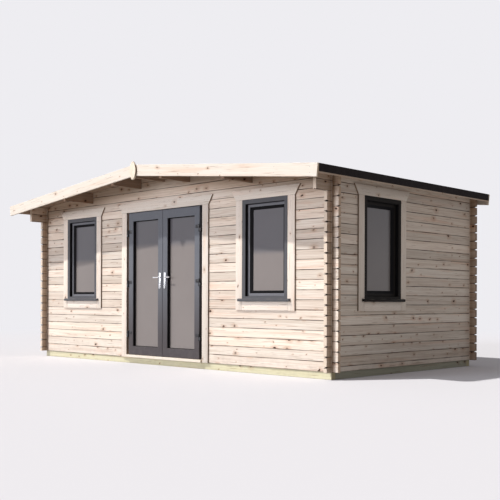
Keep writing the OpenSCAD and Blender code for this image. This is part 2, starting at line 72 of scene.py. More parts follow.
def set_camera():
    lens = bpy.data.cameras.new("cabin_camera")
    lens.lens = 61.24
    lens.sensor_width = 36
    lens.shift_y = 0.1019
    lens.clip_end = 200
    cam = bpy.data.objects.new("cabin_camera", lens)
    turn = (Matrix.Rotation(CAMERA_TURN, 4, "Z") @ Matrix.Rotation(math.pi / 2, 4, "X")
            @ Matrix.Rotation(CAMERA_ROLL, 4, "Z"))
    cam.matrix_world = Matrix.Translation(CAMERA_AT) @ turn
    bpy.context.scene.collection.objects.link(cam)
    bpy.context.scene.camera = cam


def sun(name, travel, strength, spread, colour):
    """A far lamp whose light runs along travel. spread is its angle, which softens shadows."""
    lamp = bpy.data.lights.new(name, "SUN")
    lamp.energy = strength
    lamp.angle = spread
    lamp.color = colour
    o = bpy.data.objects.new(name, lamp)
    o.rotation_euler = Vector(travel).to_track_quat("-Z", "Y").to_euler()
    bpy.context.scene.collection.objects.link(o)


# ---------------------------------------------------------------- laying out shader nodes

class Sheet:
    """One tree of shader nodes and short ways to add to it."""

    def __init__(self, tree):
        self.tree = tree

    def node(self, kind, **settings):
        n = self.tree.nodes.new("ShaderNode" + kind)
        for key, value in settings.items():
            setattr(n, key, value)
        return n

    def put(self, value, socket):
        if isinstance(value, bpy.types.NodeSocket):
            self.tree.links.new(value, socket)
        elif isinstance(value, tuple) and len(value) == 3 and socket.type == "RGBA":
            socket.default_value = (*value, 1)
        else:
            socket.default_value = value

    def maths(self, operation, a, b=0.0, c=0.0, clamp=False):
        n = self.node("Math", operation=operation, use_clamp=clamp)
        for i, v in enumerate((a, b, c)):
            self.put(v, n.inputs[i])
        return n.outputs[0]

    def times(self, a, b):
        return self.maths("MULTIPLY", a, b)

    def plus(self, a, b):
        return self.maths("ADD", a, b)

    def vector(self, x, y, z):
        n = self.node("CombineXYZ")
        for i, v in enumerate((x, y, z)):
            self.put(v, n.inputs[i])
        return n.outputs[0]

    def split(self, v):
        n = self.node("SeparateXYZ")
        self.put(v, n.inputs[0])
        return n.outputs

    def noise(self, v, scale, detail=2.0, roughness=0.5, distortion=0.0):
        n = self.node("TexNoise", noise_dimensions="3D")
        self.put(v, n.inputs["Vector"])
        n.inputs["Scale"].default_value = scale
        n.inputs["Detail"].default_value = detail
        n.inputs["Roughness"].default_value = roughness
        n.inputs["Distortion"].default_value = distortion
        return n.outputs["Fac"]

    def ramp(self, v, low, high, to_low=0.0, to_high=1.0, smooth=True):
        n = self.node("MapRange", interpolation_type="SMOOTHSTEP" if smooth else "LINEAR")
        for key, x in (("Value", v), ("From Min", low), ("From Max", high),
                       ("To Min", to_low), ("To Max", to_high)):
            self.put(x, n.inputs[key])
        return n.outputs[0]

    def blend(self, share, a, b, way="MIX"):
        n = self.node("Mix", data_type="RGBA", blend_type=way)
        self.put(share, n.inputs[0])
        self.put(a, n.inputs[6])
        self.put(b, n.inputs[7])
        return n.outputs[2]

    def tint(self, colour, share, factor):
        """The colour times factor, as far as share says."""
        return self.blend(share, colour, self.blend(1.0, colour, factor, "MULTIPLY"))

    def stretched(self, place, scales, detail=2.0, roughness=0.5, distortion=0.0):
        """Noise with its own scale along each of three coordinates."""
        v = self.vector(*(self.times(p, k) for p, k in zip(place, scales)))
        return self.noise(v, 1.0, detail, roughness, distortion)

    def absolute(self, v):
        return self.maths("ABSOLUTE", v)

    def place(self):
        return self.node("TexCoord").outputs["Object"]

    def facing(self):
        return self.split(self.node("NewGeometry").outputs["Normal"])

    def lot(self, board):
        """Three numbers between 0 and 1 drawn for one board."""
        chance = self.node("TexWhiteNoise", noise_dimensions="1D")
        self.put(board, chance.inputs["W"])
        parts = self.node("SeparateColor")
        self.put(chance.outputs["Color"], parts.inputs[0])
        return parts.outputs

    def group(self, tree, **values):
        n = self.node("Group")
        n.node_tree = tree
        for key, v in values.items():
            self.put(v, n.inputs[key.replace("_", " ")])
        return n.outputs


def new_group(name, ins, outs):
    tree = bpy.data.node_groups.new(name, "ShaderNodeTree")
    kinds = {"f": "NodeSocketFloat", "c": "NodeSocketColor", "v": "NodeSocketVector"}
    for label, kind, value in ins:
        s = tree.interface.new_socket(label, in_out="INPUT", socket_type=kinds[kind])
        if value is not None:
            s.default_value = (*value, 1) if kind == "c" else value
    for label, kind in outs:
        tree.interface.new_socket(label, in_out="OUTPUT", socket_type=kinds[kind])
    return Sheet(tree), tree.nodes.new("NodeGroupInput").outputs, \
        tree.nodes.new("NodeGroupOutput").inputs


def pine_group():
    """Planed pine. Along, Across and Depth are metres in the board; Board tells boards apart."""
    s, i, o = new_group("pine", [
        ("Along", "f", 0), ("Across", "f", 0), ("Depth", "f", 0), ("Board", "f", 0),
        ("Pale", "c", (0.8, 0.7, 0.6)), ("Deep", "c", (0.6, 0.45, 0.33)),
        ("Knot", "c", (0.045, 0.018, 0.011)), ("Figure", "f", 1), ("Knots", "f", 0.4),
        ("Edge", "f", 1)],
        [("Color", "c"), ("Roughness", "f"), ("Height", "f")])
    lot = s.lot(i["Board"])
    along = s.maths("MULTIPLY_ADD", lot[0], 13.0, i["Along"])
    across = s.maths("MULTIPLY_ADD", lot[1], 1.7, i["Across"])
    depth = s.maths("MULTIPLY_ADD", lot[2], 0.9, i["Depth"])
    wood_place = (along, across, depth)

    ragged = s.stretched(wood_place, (20.0, 34.0, 1.0), 3.0, 0.65)
    bent = s.maths("MULTIPLY_ADD", s.plus(ragged, -0.5), 0.030, across)
    reach = s.maths("MULTIPLY_ADD", s.plus(ragged, -0.5), 0.034, s.times(along, 0.62))
    spot = s.node("TexVoronoi", voronoi_dimensions="2D", feature="F1")
    s.put(s.vector(reach, bent, 0.0), spot.inputs["Vector"])
    spot.inputs["Scale"].default_value = 8.5
    cell = s.node("SeparateColor")
    s.put(spot.outputs["Color"], cell.inputs[0])
    kept = s.maths("LESS_THAN", cell.outputs[0], i["Knots"])
    size = s.maths("POWER", cell.outputs[1], 2.2)
    size = s.maths("MULTIPLY_ADD", size, 0.125, 0.036)
    core = s.ramp(spot.outputs["Distance"], s.times(size, 0.5), size, 1.0, 0.0)
    halo = s.ramp(spot.outputs["Distance"], s.times(size, 0.8), s.times(size, 3.4), 1.0, 0.0)
    core = s.times(core, s.times(kept, s.ramp(cell.outputs[2], 0.0, 1.0, 0.60, 1.0)))
    halo = s.times(halo, kept)

    drift = s.stretched(wood_place, (0.6, 7.0, 7.0))
    phase = s.plus(across, s.times(depth, 0.6))
    phase = s.maths("MULTIPLY_ADD", drift, 0.11, phase)
    phase = s.maths("MULTIPLY_ADD", halo, 0.006, phase)
    rings = s.maths("PINGPONG", s.times(phase, 105.0), 1.0)
    rings = s.maths("POWER", rings, 2.2)
    streak = s.ramp(s.stretched(wood_place, (1.1, 30.0, 30.0), 4.0, 0.6, 0.3), 0.36, 0.70)
    dash = s.ramp(s.stretched(wood_place, (3.4, 75.0, 75.0), 2.0, 0.55), 0.61, 0.71)
    blush = s.ramp(s.stretched(wood_place, (0.9, 16.0, 16.0), 2.0, 0.5, 0.4), 0.56, 0.72)
    fibre = s.stretched(wood_place, (7.0, 430.0, 430.0))
    figure = s.times(rings, 0.34)
    figure = s.maths("MULTIPLY_ADD", streak, 0.46, figure)
    figure = s.maths("MULTIPLY_ADD", fibre, 0.16, figure)
    figure = s.maths("MULTIPLY", figure, i["Figure"], clamp=True)
    wood = s.blend(figure, i["Pale"], i["Deep"])
    light = s.ramp(lot[2], 0.0, 1.0, 0.83, 1.10, smooth=False)
    wood = s.blend(1.0, wood, s.vector(light, light, light), "MULTIPLY")
    for mask, share, factor in ((lot[0], 0.50, (1.01, 0.93, 0.88)),
                                (lot[1], 0.70, (0.97, 0.97, 0.95)),
                                (blush, 0.55, (1.0, 0.84, 0.76)),
                                (dash, 0.60, (0.50, 0.40, 0.34)),
                                (halo, 0.50, (0.74, 0.55, 0.43))):
        wood = s.tint(wood, s.times(mask, share), factor)
    wood = s.blend(core, wood, i["Knot"])
    s.put(s.blend(i["Edge"], (0.055, 0.030, 0.019), wood), o["Color"])
    s.put(s.ramp(figure, 0.0, 1.0, 0.50, 0.68, smooth=False), o["Roughness"])
    height = s.maths("MULTIPLY_ADD", rings, -0.5, s.times(fibre, 0.5))
    s.put(s.maths("MULTIPLY_ADD", core, -0.8, height), o["Height"])
    return s.tree


def end_grain_group():
    """Sawn log ends: growth rings round a pith, darker than the planed faces."""
    s, i, o = new_group("end_grain", [
        ("Across", "f", 0), ("Depth", "f", 0), ("Board", "f", 0),
        ("Pale", "c", (0.7, 0.58, 0.45)), ("Deep", "c", (0.4, 0.27, 0.17))],
        [("Color", "c"), ("Height", "f")])
    lot = s.lot(i["Board"])
    a = s.plus(i["Across"], s.times(lot[0], 0.1))
    d = s.plus(i["Depth"], s.times(lot[1], 0.1))
    away = s.node("VectorMath", operation="LENGTH")
    s.put(s.vector(a, d, 0.0), away.inputs[0])
    wobble = s.noise(s.vector(a, d, 0.0), 14.0, 2.0)
    rings = s.maths("MULTIPLY_ADD", wobble, 0.012, away.outputs["Value"])
    rings = s.maths("PINGPONG", s.times(rings, 260.0), 1.0)
    speck = s.noise(s.vector(a, d, 0.0), 900.0, 2.0)
    tone = s.maths("MULTIPLY_ADD", rings, 0.55, s.times(speck, 0.35), clamp=True)
    s.put(s.blend(tone, i["Pale"], i["Deep"]), o["Color"])
    s.put(tone, o["Height"])
    return s.tree


def weather_group():
    """Dust that settles on ledges and splash marks near the ground."""
    s, i, o = new_group("weather", [
        ("Color", "c", (0.5, 0.5, 0.5)), ("Dust", "c", (0.45, 0.42, 0.38)),
        ("Ledges", "f", 0.4), ("Splash", "f", 0.3)], [("Color", "c"), ("Mask", "f")])
    place = s.place()
    up = s.ramp(s.facing()[2], 0.55, 0.95)
    blotch = s.ramp(s.noise(place, 9.0, 4.0, 0.6), 0.40, 0.70)
    ledge = s.times(s.times(up, i["Ledges"]), blotch)
    low = s.ramp(s.split(place)[2], 0.02, 0.42, 1.0, 0.0)
    splash = s.times(s.times(low, i["Splash"]),
                     s.ramp(s.noise(place, 12.0, 5.0, 0.6), 0.36, 0.72))
    mask = s.maths("MAXIMUM", ledge, splash)
    s.put(s.blend(mask, i["Color"], i["Dust"]), o["Color"])
    s.put(mask, o["Mask"])
    return s.tree


PINE = pine_group()
END_GRAIN = end_grain_group()
WEATHER = weather_group()
AXES = {"X": 0, "Y": 1, "Z": 2}


def new_material(name):
    m = bpy.data.materials.new(name)
    m.use_nodes = True
    t = m.node_tree
    return m, Sheet(t), t.nodes["Principled BSDF"]


def plain(shader, **values):
    """Sets sockets that are the same all over, named with _ for a space."""
    for key, value in values.items():
        shader.inputs[key.replace("_", " ")].default_value = value


def bump(s, height, strength, distance, bsdf):
    n = s.node("Bump")
    n.inputs["Strength"].default_value = strength
    n.inputs["Distance"].default_value = distance
    s.put(height, n.inputs["Height"])
    s.put(n.outputs[0], bsdf.inputs["Normal"])


def shade(colour, *factors):
    return tuple(v * k for v, k in zip(colour, factors))


def pine(name, along, across, pale, deep, knots=0.40, figure=1.0, course=None, shift=0.0,
         first=0.0, slope=False, splash=0.2, seam=0.0, ends=(0.84, 0.76, 0.66), edges=1.0,
         stub=None, nook=None, eaves=None):
    """Wood with its grain along one axis. course is the boards' pitch across the grain, from
    shift up and numbered from first, or None where each board carries its own number. slope
    lays the grain along the roof's fall. seam is the width of the dark line in the joints,
    ends tones the end grain and edges darkens the narrow sides as painted shade. Outside the
    two limits of stub the logs are darkened brown as painted shade, close beside nook they
    are darkened as painted shade, and under the roof, which peaks at eaves, they are browner
    as painted shade."""
    m, s, bsdf = new_material(name)
    xyz = s.split(s.place())
    depth_axis = ({"X", "Y", "Z"} - {along, across}).pop()
    a, c, d = (xyz[AXES[k]] for k in (along, across, depth_axis))
    if slope:
        c = s.maths("MULTIPLY_ADD", s.absolute(xyz[0]), ROOF_SLOPE, c)
    edge = 1.0
    if course:
        rows = s.maths("DIVIDE", s.plus(c, -shift), course)
        board = s.plus(s.maths("FLOOR", rows), first)
    else:
        board = s.node("Attribute", attribute_name="board").outputs["Fac"]
    if seam:
        away = s.times(s.maths("PINGPONG", rows, 0.5), course)
        tight = s.stretched((a, c, 0.0), (2.6, 9.0, 1.0))
        edge = s.ramp(away, seam * 0.45, seam * 1.5, s.ramp(tight, 0.36, 0.62, 0.02, 0.55), 1.0)
    wood = s.group(PINE, Along=a, Across=c, Depth=d, Board=board, Pale=pale, Deep=deep,
                   Figure=figure, Knots=knots, Edge=edge)
    cut = s.group(END_GRAIN, Across=c, Depth=d, Board=board,
                  Pale=shade(pale, *ends), Deep=shade(deep, *ends))
    facing = s.facing()
    end = s.ramp(s.absolute(facing[AXES[along]]), 0.72, 0.80)
    planed = wood["Color"]
    # Painted shade: past the stub limits the planed faces turn darker and browner, most where
    # they leave the wall.
    if stub:
        out = s.maths("MAXIMUM", s.maths("SUBTRACT", stub[0], a), s.plus(a, -stub[1]))
        brown = s.blend(s.ramp(out, 0.0, 0.10), (0.53, 0.445, 0.38), (0.76, 0.68, 0.62))
        planed = s.tint(planed, s.ramp(out, -0.005, 0.020), brown)
    # Painted shade: the planed faces darken close beside the inner corners.
    if nook:
        near = s.absolute(s.plus(s.absolute(a), -nook))
        planed = s.tint(planed, s.ramp(near, 0.030, 0.085, 1.0, 0.0), (0.50, 0.43, 0.37))
    # Painted shade: the wall darkens towards the roof line under the eaves.
    if eaves:
        under = s.maths("MULTIPLY_ADD", s.absolute(xyz[0]), ROOF_SLOPE, xyz[2])
        planed = s.tint(planed, s.ramp(under, eaves - 0.42, eaves - 0.08), (0.75, 0.68, 0.62))
    colour = s.blend(end, planed, cut["Color"])
    # Painted shade: the narrow sides that face across the grain are darkened.
    if edges < 1.0:
        side = s.ramp(s.absolute(facing[AXES[across]]), 0.80, 0.92)
        colour = s.tint(colour, side, (edges, edges * 0.86, edges * 0.76))
    plain(bsdf, Specular_IOR_Level=0.15)
    aged = s.group(WEATHER, Color=colour, Dust=(0.30, 0.25, 0.20), Ledges=0.25, Splash=splash)
    s.put(aged["Color"], bsdf.inputs["Base Color"])
    s.put(wood["Roughness"], bsdf.inputs["Roughness"])
    bump(s, s.blend(end, wood["Height"], cut["Height"]), 0.35, 0.0006, bsdf)
    return m


def foil(name, low, high, foot=None, sheen=0.18):
    """Wood-grained foil on plastic, between two tones. foot is the tone it takes near the
    ground."""
    m, s, bsdf = new_material(name)
    place = s.place()
    xyz = s.split(place)
    cloud = s.noise(place, 3.0, 3.0)
    grain = s.stretched(xyz, (160.0, 160.0, 60.0), 3.0, 0.6)
    tone = s.blend(cloud, low, high)
    if foot:
        tone = s.blend(s.ramp(xyz[2], 0.15, 1.45), foot, tone)
    tone = s.blend(s.times(s.ramp(grain, 0.35, 0.7), 0.22), tone, shade(low, 0.65, 0.65, 0.67))
    aged = s.group(WEATHER, Color=tone, Dust=(0.30, 0.27, 0.24), Ledges=0.40, Splash=0.12)
    s.put(aged["Color"], bsdf.inputs["Base Color"])
    s.put(s.ramp(grain, 0.2, 0.8, 0.48, 0.62, smooth=False), bsdf.inputs["Roughness"])
    plain(bsdf, Specular_IOR_Level=sheen)
    bump(s, grain, 0.22, 0.0004, bsdf)
    return m


def smoked_glass(name, painted_shade_from, painted_shade_full):
    """Taupe, lightly frosted sealed glass, darker and cooler upwards as painted shade."""
    m, s, bsdf = new_material(name)
    place = s.place()
    haze = s.noise(place, 1.6, 3.0, 0.55)
    film = s.noise(place, 55.0, 4.0, 0.7)
    tone = s.blend(haze, (0.250, 0.218, 0.206), (0.300, 0.266, 0.250))
    # Painted shade: the panes darken and cool upwards between the two given heights.
    deep = s.ramp(s.split(place)[2], painted_shade_from, painted_shade_full)
    tone = s.tint(tone, deep, (0.60, 0.65, 0.74))
    aged = s.group(WEATHER, Color=tone, Dust=(0.42, 0.39, 0.36), Ledges=0.1, Splash=0.35)
    s.put(aged["Color"], bsdf.inputs["Base Color"])
    s.put(s.ramp(film, 0.3, 0.8, 0.10, 0.24, smooth=False), bsdf.inputs["Roughness"])
    plain(bsdf, Transmission_Weight=0.16, IOR=1.46, Specular_IOR_Level=0.35, Coat_Weight=0.12,
          Coat_Roughness=0.04)
    return m


def bitumen_felt(name):
    """Gritted felt, each sheet its own tone, with a painted shadow just under each lap and
    worn paler above it.
    """
    m, s, bsdf = new_material(name)
    place = s.place()
    grit = s.node("TexVoronoi", voronoi_dimensions="3D", feature="F1")
    s.put(place, grit.inputs["Vector"])
    grit.inputs["Scale"].default_value = 420.0
    fleck = s.node("SeparateColor")
    s.put(grit.outputs["Color"], fleck.inputs[0])
    tone = s.blend(s.times(fleck.outputs[0], 0.8), (0.006, 0.0045, 0.0045), (0.026, 0.020, 0.020))
    xyz = s.split(place)
    run = s.stretched((xyz[0], xyz[1], 0.0), (0.9, 11.0, 1.0), 5.0, 0.65)
    worn = s.ramp(run, 0.36, 0.78)
    tone = s.blend(s.times(worn, 0.32), tone, (0.036, 0.030, 0.029))
    below = s.maths("SUBTRACT", s.absolute(xyz[0]), FELT_LAP)
    below = s.times(s.maths("FRACT", s.maths("DIVIDE", below, FELT_WIDTH)), FELT_WIDTH)
    # Painted shadow: dark for a short way below the edge of each lap.
    tone = s.blend(s.ramp(below, 0.0, 0.055, 0.75, 0.0), tone, (0.003, 0.002, 0.002))
    tone = s.blend(s.ramp(below, FELT_WIDTH - 0.05, FELT_WIDTH, 0.0, 0.35), tone,
                   (0.060, 0.052, 0.050))
    sheet = s.node("TexWhiteNoise", noise_dimensions="1D")
    s.put(s.node("Attribute", attribute_name="board").outputs["Fac"], sheet.inputs["W"])
    light = s.ramp(sheet.outputs["Value"], 0.0, 1.0, 0.78, 1.50, smooth=False)
    tone = s.blend(1.0, tone, s.vector(light, light, light), "MULTIPLY")
    aged = s.group(WEATHER, Color=tone, Dust=(0.10, 0.09, 0.085), Ledges=0.07, Splash=0.0)
    s.put(aged["Color"], bsdf.inputs["Base Color"])
    s.put(s.ramp(fleck.outputs[1], 0.0, 1.0, 0.78, 0.98, smooth=False),
          bsdf.inputs["Roughness"])
    plain(bsdf, Specular_IOR_Level=0.12)
    bump(s, s.maths("SUBTRACT", 1.0, grit.outputs["Distance"]), 0.7, 0.0012, bsdf)
    return m


def metal(name, low, high, metallic, rough_low, rough_high, scale):
    """Brushed metal or paint between two tones; scale is how fine its clouds are."""
    m, s, bsdf = new_material(name)
    place = s.place()
    brush = s.stretched(s.split(place), (900.0, 900.0, 40.0))
    cloud = s.noise(place, scale, 4.0, 0.6)
    s.put(s.blend(cloud, low, high), bsdf.inputs["Base Color"])
    plain(bsdf, Metallic=metallic)
    s.put(s.ramp(s.plus(s.times(brush, 0.5), s.times(cloud, 0.5)), 0.25, 0.75, rough_low,
                 rough_high, smooth=False), bsdf.inputs["Roughness"])
    bump(s, brush, 0.05, 0.0002, bsdf)
    return m


def gasket_rubber(name):
    """Matt black rubber for gaskets, beads and weather strips."""
    m, s, bsdf = new_material(name)
    place = s.place()
    cloud = s.noise(place, 40.0, 3.0)
    s.put(s.blend(cloud, (0.004, 0.004, 0.005), (0.012, 0.011, 0.012)),
          bsdf.inputs["Base Color"])
    s.put(s.ramp(cloud, 0.2, 0.8, 0.60, 0.80), bsdf.inputs["Roughness"])
    plain(bsdf, Specular_IOR_Level=0.06)
    return m


WHOLE = {"course": 50.0, "shift": -25.0}      # a course taller than any piece: no joints
PALE = (0.895, 0.812, 0.722)
DEEP = (0.600, 0.476, 0.380)
# End grain nearly as pale as the faces: painted light on the sunlit log ends.
PAINTED_LIGHT_ENDS = (0.97, 0.93, 0.87)
SIDES = (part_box("left_wall")[0].x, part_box("right_wall")[1].x)
FACES = (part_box("front_wall_left")[0].y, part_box("back_wall")[1].y)
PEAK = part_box("front_gable")[1].z
# edges darkens the logs' top and bottom faces: painted shade in the joints and corner notches.
LOGS = {"knots": 0.50, "course": COURSE, "seam": 0.0045, "edges": 0.13}
# Front logs: painted shade beside the corners and under the roof; their ends are darker partly as
# end grain, partly as painted shade.
LOG_X = pine("logs_front", "X", "Z", PALE, DEEP, shift=WALL_FOOT, ends=(0.76, 0.64, 0.54),
             nook=SIDES[1] - LOG_T / 2, eaves=PEAK, **LOGS)
# Back logs: the very dark ends, the darkened stubs past the side walls and the darkening under
# the roof are painted shade.
LOG_BACK = pine("logs_back", "X", "Z", PALE, DEEP, shift=WALL_FOOT, ends=(0.38, 0.30, 0.25),
                stub=SIDES, eaves=PEAK, **LOGS)
# Side logs: pale ends as painted light, darkened stubs past the front and back walls as painted
# shade.
LOG_Y = pine("logs_sides", "Y", "Z", PALE, DEEP, shift=WALL_FOOT - COURSE / 2, first=61.0,
             ends=PAINTED_LIGHT_ENDS, stub=FACES, **LOGS)
TRIM_PALE = (0.860, 0.790, 0.715)
TRIM_DEEP = (0.690, 0.575, 0.475)
# Very dark end grain on the level trims: painted shade on the ends that face away from the sun.
PAINTED_SHADE_TRIM_ENDS = (0.34, 0.27, 0.22)
# edges darkens the trims' narrow sides: painted shade along their shaded side.
TRIMS = {"knots": 0.22, "figure": 0.7, "edges": 0.30}
TRIM_Z = pine("trims_upright", "Z", "X", TRIM_PALE, TRIM_DEEP, **TRIMS)
TRIM_ZY = pine("trims_upright_sides", "Z", "Y", TRIM_PALE, TRIM_DEEP, **TRIMS)
TRIM_X = pine("trims_level", "X", "Z", TRIM_PALE, TRIM_DEEP, ends=PAINTED_SHADE_TRIM_ENDS, **TRIMS)
TRIM_Y = pine("trims_level_sides", "Y", "Z", TRIM_PALE, TRIM_DEEP, ends=PAINTED_SHADE_TRIM_ENDS, **TRIMS)
BARGE = pine("bargeboards", "X", "Z", (0.900, 0.838, 0.752), (0.735, 0.625, 0.505),
             knots=0.28, figure=0.65, first=7.0, slope=True, **WHOLE)
# edges darkens the finials' narrow sides: painted shade beside the finials.
FINIAL = pine("finials", "Z", "X", (0.815, 0.735, 0.618), (0.680, 0.565, 0.435),
              knots=0.10, figure=0.6, first=3.0, edges=0.28, **WHOLE)
SILL = pine("threshold", "X", "Y", (0.860, 0.800, 0.700), (0.720, 0.610, 0.490),
            knots=0.15, figure=0.6, first=5.0, splash=0.1, **WHOLE)
PURLIN = pine("purlins", "Y", "Z", (0.430, 0.310, 0.230), (0.260, 0.160, 0.105),
              knots=0.40, first=11.0, ends=(0.90, 0.84, 0.80), **WHOLE)
BEARERS = {"knots": 0.2, "figure": 0.8, "splash": 0.12}
BEARER_X = pine("bearers_front_and_back", "X", "Z", (0.74, 0.72, 0.53), (0.55, 0.52, 0.33),
                first=17.0, **BEARERS, **WHOLE)
# The same treated timber as the front and back bearers, darker as painted shade on the shaded
# sides.
BEARER_Y_PAINTED_SHADE = pine("bearers_sides_painted_shade", "Y", "Z", (0.42, 0.42, 0.34), (0.26, 0.27, 0.20),
                first=19.0, **BEARERS, **WHOLE)
ROOF = pine("roof_boards", "X", "Y", (0.460, 0.340, 0.255), (0.260, 0.165, 0.112), knots=0.45)
EAVES = pine("eaves_boards", "Y", "Z", (0.640, 0.520, 0.420), (0.430, 0.310, 0.225),
             knots=0.3, first=23.0, **WHOLE)
FLOOR = pine("floor_boards", "X", "Y", (0.74, 0.60, 0.44), (0.54, 0.38, 0.24), knots=0.30)
FOIL = foil("anthracite_foil", (0.088, 0.088, 0.096), (0.110, 0.109, 0.116))
# The same foil as the front frames, much darker as painted shade for the side windows.
PAINTED_SHADE_FOIL = foil("anthracite_foil_painted_shade", (0.012, 0.010, 0.009), (0.020, 0.017, 0.015),
                 sheen=0.06)
DOOR_FOIL = foil("anthracite_foil_doors", (0.134, 0.141, 0.160), (0.158, 0.165, 0.184),
                 foot=(0.066, 0.055, 0.056))
SASH_FOIL = foil("anthracite_foil_sashes", (0.162, 0.163, 0.180), (0.192, 0.192, 0.208))
# The heights where the painted shade on each kind of pane begins and is full.
GLASS = smoked_glass("smoked_glass", 1.40, 1.49)
SIDE_GLASS = smoked_glass("smoked_glass_sides", 0.60, 2.60)
DOOR_GLASS = smoked_glass("smoked_glass_doors", 1.55, 1.66)
FELT = bitumen_felt("bitumen_felt")
CHROME = metal("polished_chrome", (0.78, 0.79, 0.81), (0.90, 0.90, 0.91), 1.0, 0.10, 0.24, 30.0)
BLACK = metal("black_hinge_paint", (0.010, 0.010, 0.012), (0.022, 0.021, 0.023), 0.0, 0.32,
              0.48, 60.0)
CLOUT = metal("clout_nails", (0.030, 0.029, 0.030), (0.055, 0.052, 0.050), 0.0, 0.45, 0.65,
              400.0)
NAIL = metal("nail_heads", (0.30, 0.29, 0.28), (0.42, 0.41, 0.40), 1.0, 0.35, 0.55, 400.0)
RUBBER = gasket_rubber("gasket_rubber")


# ---------------------------------------------------------------- bench tools

def clear():
    if bpy.context.object and bpy.context.object.mode != "OBJECT":
        leave()
    bpy.ops.object.select_all(action="DESELECT")


def hold(o):
    clear()
    o.select_set(True)
    bpy.context.view_layer.objects.active = o


def edit_all(o, mode="EDGE"):
    """Opens a mesh in edit mode with everything selected."""
    hold(o)
    bpy.ops.object.mode_set(mode="EDIT")
    bpy.ops.mesh.select_mode(type=mode)
    bpy.ops.mesh.select_all(action="SELECT")


def leave():
    bpy.ops.object.mode_set(mode="OBJECT")


def turn_outwards():
    """Recalculates the open mesh's normals and leaves edit mode."""
    bpy.ops.mesh.select_all(action="SELECT")
    bpy.ops.mesh.normals_make_consistent(inside=False)
    leave()


def settle(o):
    """Puts the object's place into its mesh."""
    hold(o)
    bpy.ops.object.transform_apply(location=True, rotation=True, scale=True)
    return o


def pick(o, test, mode="VERT"):
    """In edit mode, selects the vertices that pass the test, or the edges or faces whose
    vertices all do."""
    hold(o)
    bpy.ops.object.mode_set(mode="EDIT")
    bpy.ops.mesh.select_mode(type=mode)
    bpy.ops.mesh.select_all(action="DESELECT")
    leave()
    mesh = o.data
    good = [test(v.co) for v in mesh.vertices]
    for i, ok in enumerate(good):
        mesh.vertices[i].select = ok
    for e in mesh.edges:
        e.select = all(good[i] for i in e.vertices)
    for f in mesh.polygons:
        f.select = all(good[i] for i in f.vertices)
    bpy.ops.object.mode_set(mode="EDIT")


def ease(o, width, segments=2):
    """Bevels every edge."""
    edit_all(o)
    bpy.ops.mesh.bevel(offset=width, segments=segments, affect="EDGES", clamp_overlap=True)
    leave()


BOARD_COUNT = [0]


def number(o):
    """Gives a board its own number, which picks its tint and figure."""
    BOARD_COUNT[0] += 1
    layer = o.data.attributes.new("board", "FLOAT", "POINT")
    layer.data.foreach_set("value", [float(BOARD_COUNT[0])] * len(o.data.vertices))


def block(low, high, width=0.0015, segments=2):
    """A piece sawn to size with its edges eased."""
    low, high = Vector(low), Vector(high)
    clear()
    bpy.ops.mesh.primitive_cube_add(size=1, location=(low + high) / 2)
    o = bpy.context.object
    o.scale = high - low
    settle(o)
    if width:
        ease(o, width, segments)
    number(o)
    return o


def rod(start, axis, length, radius, sides=24, width=0.0, segments=2):
    """A round bar from start along X, Y or Z, with its rims rounded."""
    clear()
    turn = {"X": (0, math.pi / 2, 0), "Y": (-math.pi / 2, 0, 0), "Z": (0, 0, 0)}[axis]
    middle = Vector(start)
    middle[AXES[axis]] += length / 2
    bpy.ops.mesh.primitive_cylinder_add(vertices=sides, radius=radius, depth=length,
                                        location=middle, rotation=turn)
    o = settle(bpy.context.object)
    if width:
        pick(o, lambda v: abs(v[AXES[axis]] - middle[AXES[axis]]) > length / 2 - 1e-5, "EDGE")
        bpy.ops.mesh.bevel(offset=width, segments=segments, affect="EDGES")
        leave()
    number(o)
    return o


def slide(o, test, move):
    """Moves the vertices that pass the test."""
    pick(o, test)
    bpy.ops.transform.translate(value=move)
    leave()


def ring(low, high, profile):
    """A mitred frame in the XZ plane. profile runs once round the section: distance in from
    the outer edge, and y."""
    cx, cz = (low[0] + high[0]) / 2, (low[1] + high[1]) / 2
    w, h = high[0] - low[0], high[1] - low[1]
    d0, y0 = profile[0]
    clear()
    bpy.ops.mesh.primitive_plane_add(size=1, location=(cx, y0, cz),
                                     rotation=(math.pi / 2, 0, 0))
    o = bpy.context.object
    o.scale = (w - 2 * d0, h - 2 * d0, 1)
    edit_all(settle(o), "FACE")
    bpy.ops.mesh.delete(type="ONLY_FACE")
    bpy.ops.mesh.select_mode(type="EDGE")
    bpy.ops.mesh.select_all(action="SELECT")
    d, y = d0, y0
    for nd, ny in profile[1:] + profile[:1]:
        bpy.ops.mesh.extrude_edges_move(TRANSFORM_OT_translate={"value": (0, ny - y, 0)})
        bpy.ops.transform.resize(value=((w - 2 * nd) / (w - 2 * d), 1,
                                        (h - 2 * nd) / (h - 2 * d)),
                                 center_override=(cx, ny, cz))
        d, y = nd, ny
    bpy.ops.mesh.select_all(action="SELECT")
    bpy.ops.mesh.remove_doubles(threshold=1e-5)
    turn_outwards()
    number(o)
    return o


def twin(o, matrix=None):
    """A copy with its own mesh, moved by matrix or mirrored left to right."""
    c = o.copy()
    c.data = o.data.copy()
    bpy.context.scene.collection.objects.link(c)
    c.matrix_world = matrix if matrix is not None else Matrix.Scale(-1, 4, (1, 0, 0))
    settle(c)
    if matrix is None:
        edit_all(c)
        turn_outwards()
    return c


def joined(pieces):
    """Joins pieces into the first of them."""
    clear()
    for o in pieces:
        o.select_set(True)
    bpy.context.view_layer.objects.active = pieces[0]
    if len(pieces) > 1:
        bpy.ops.object.join()
    return bpy.context.view_layer.objects.active


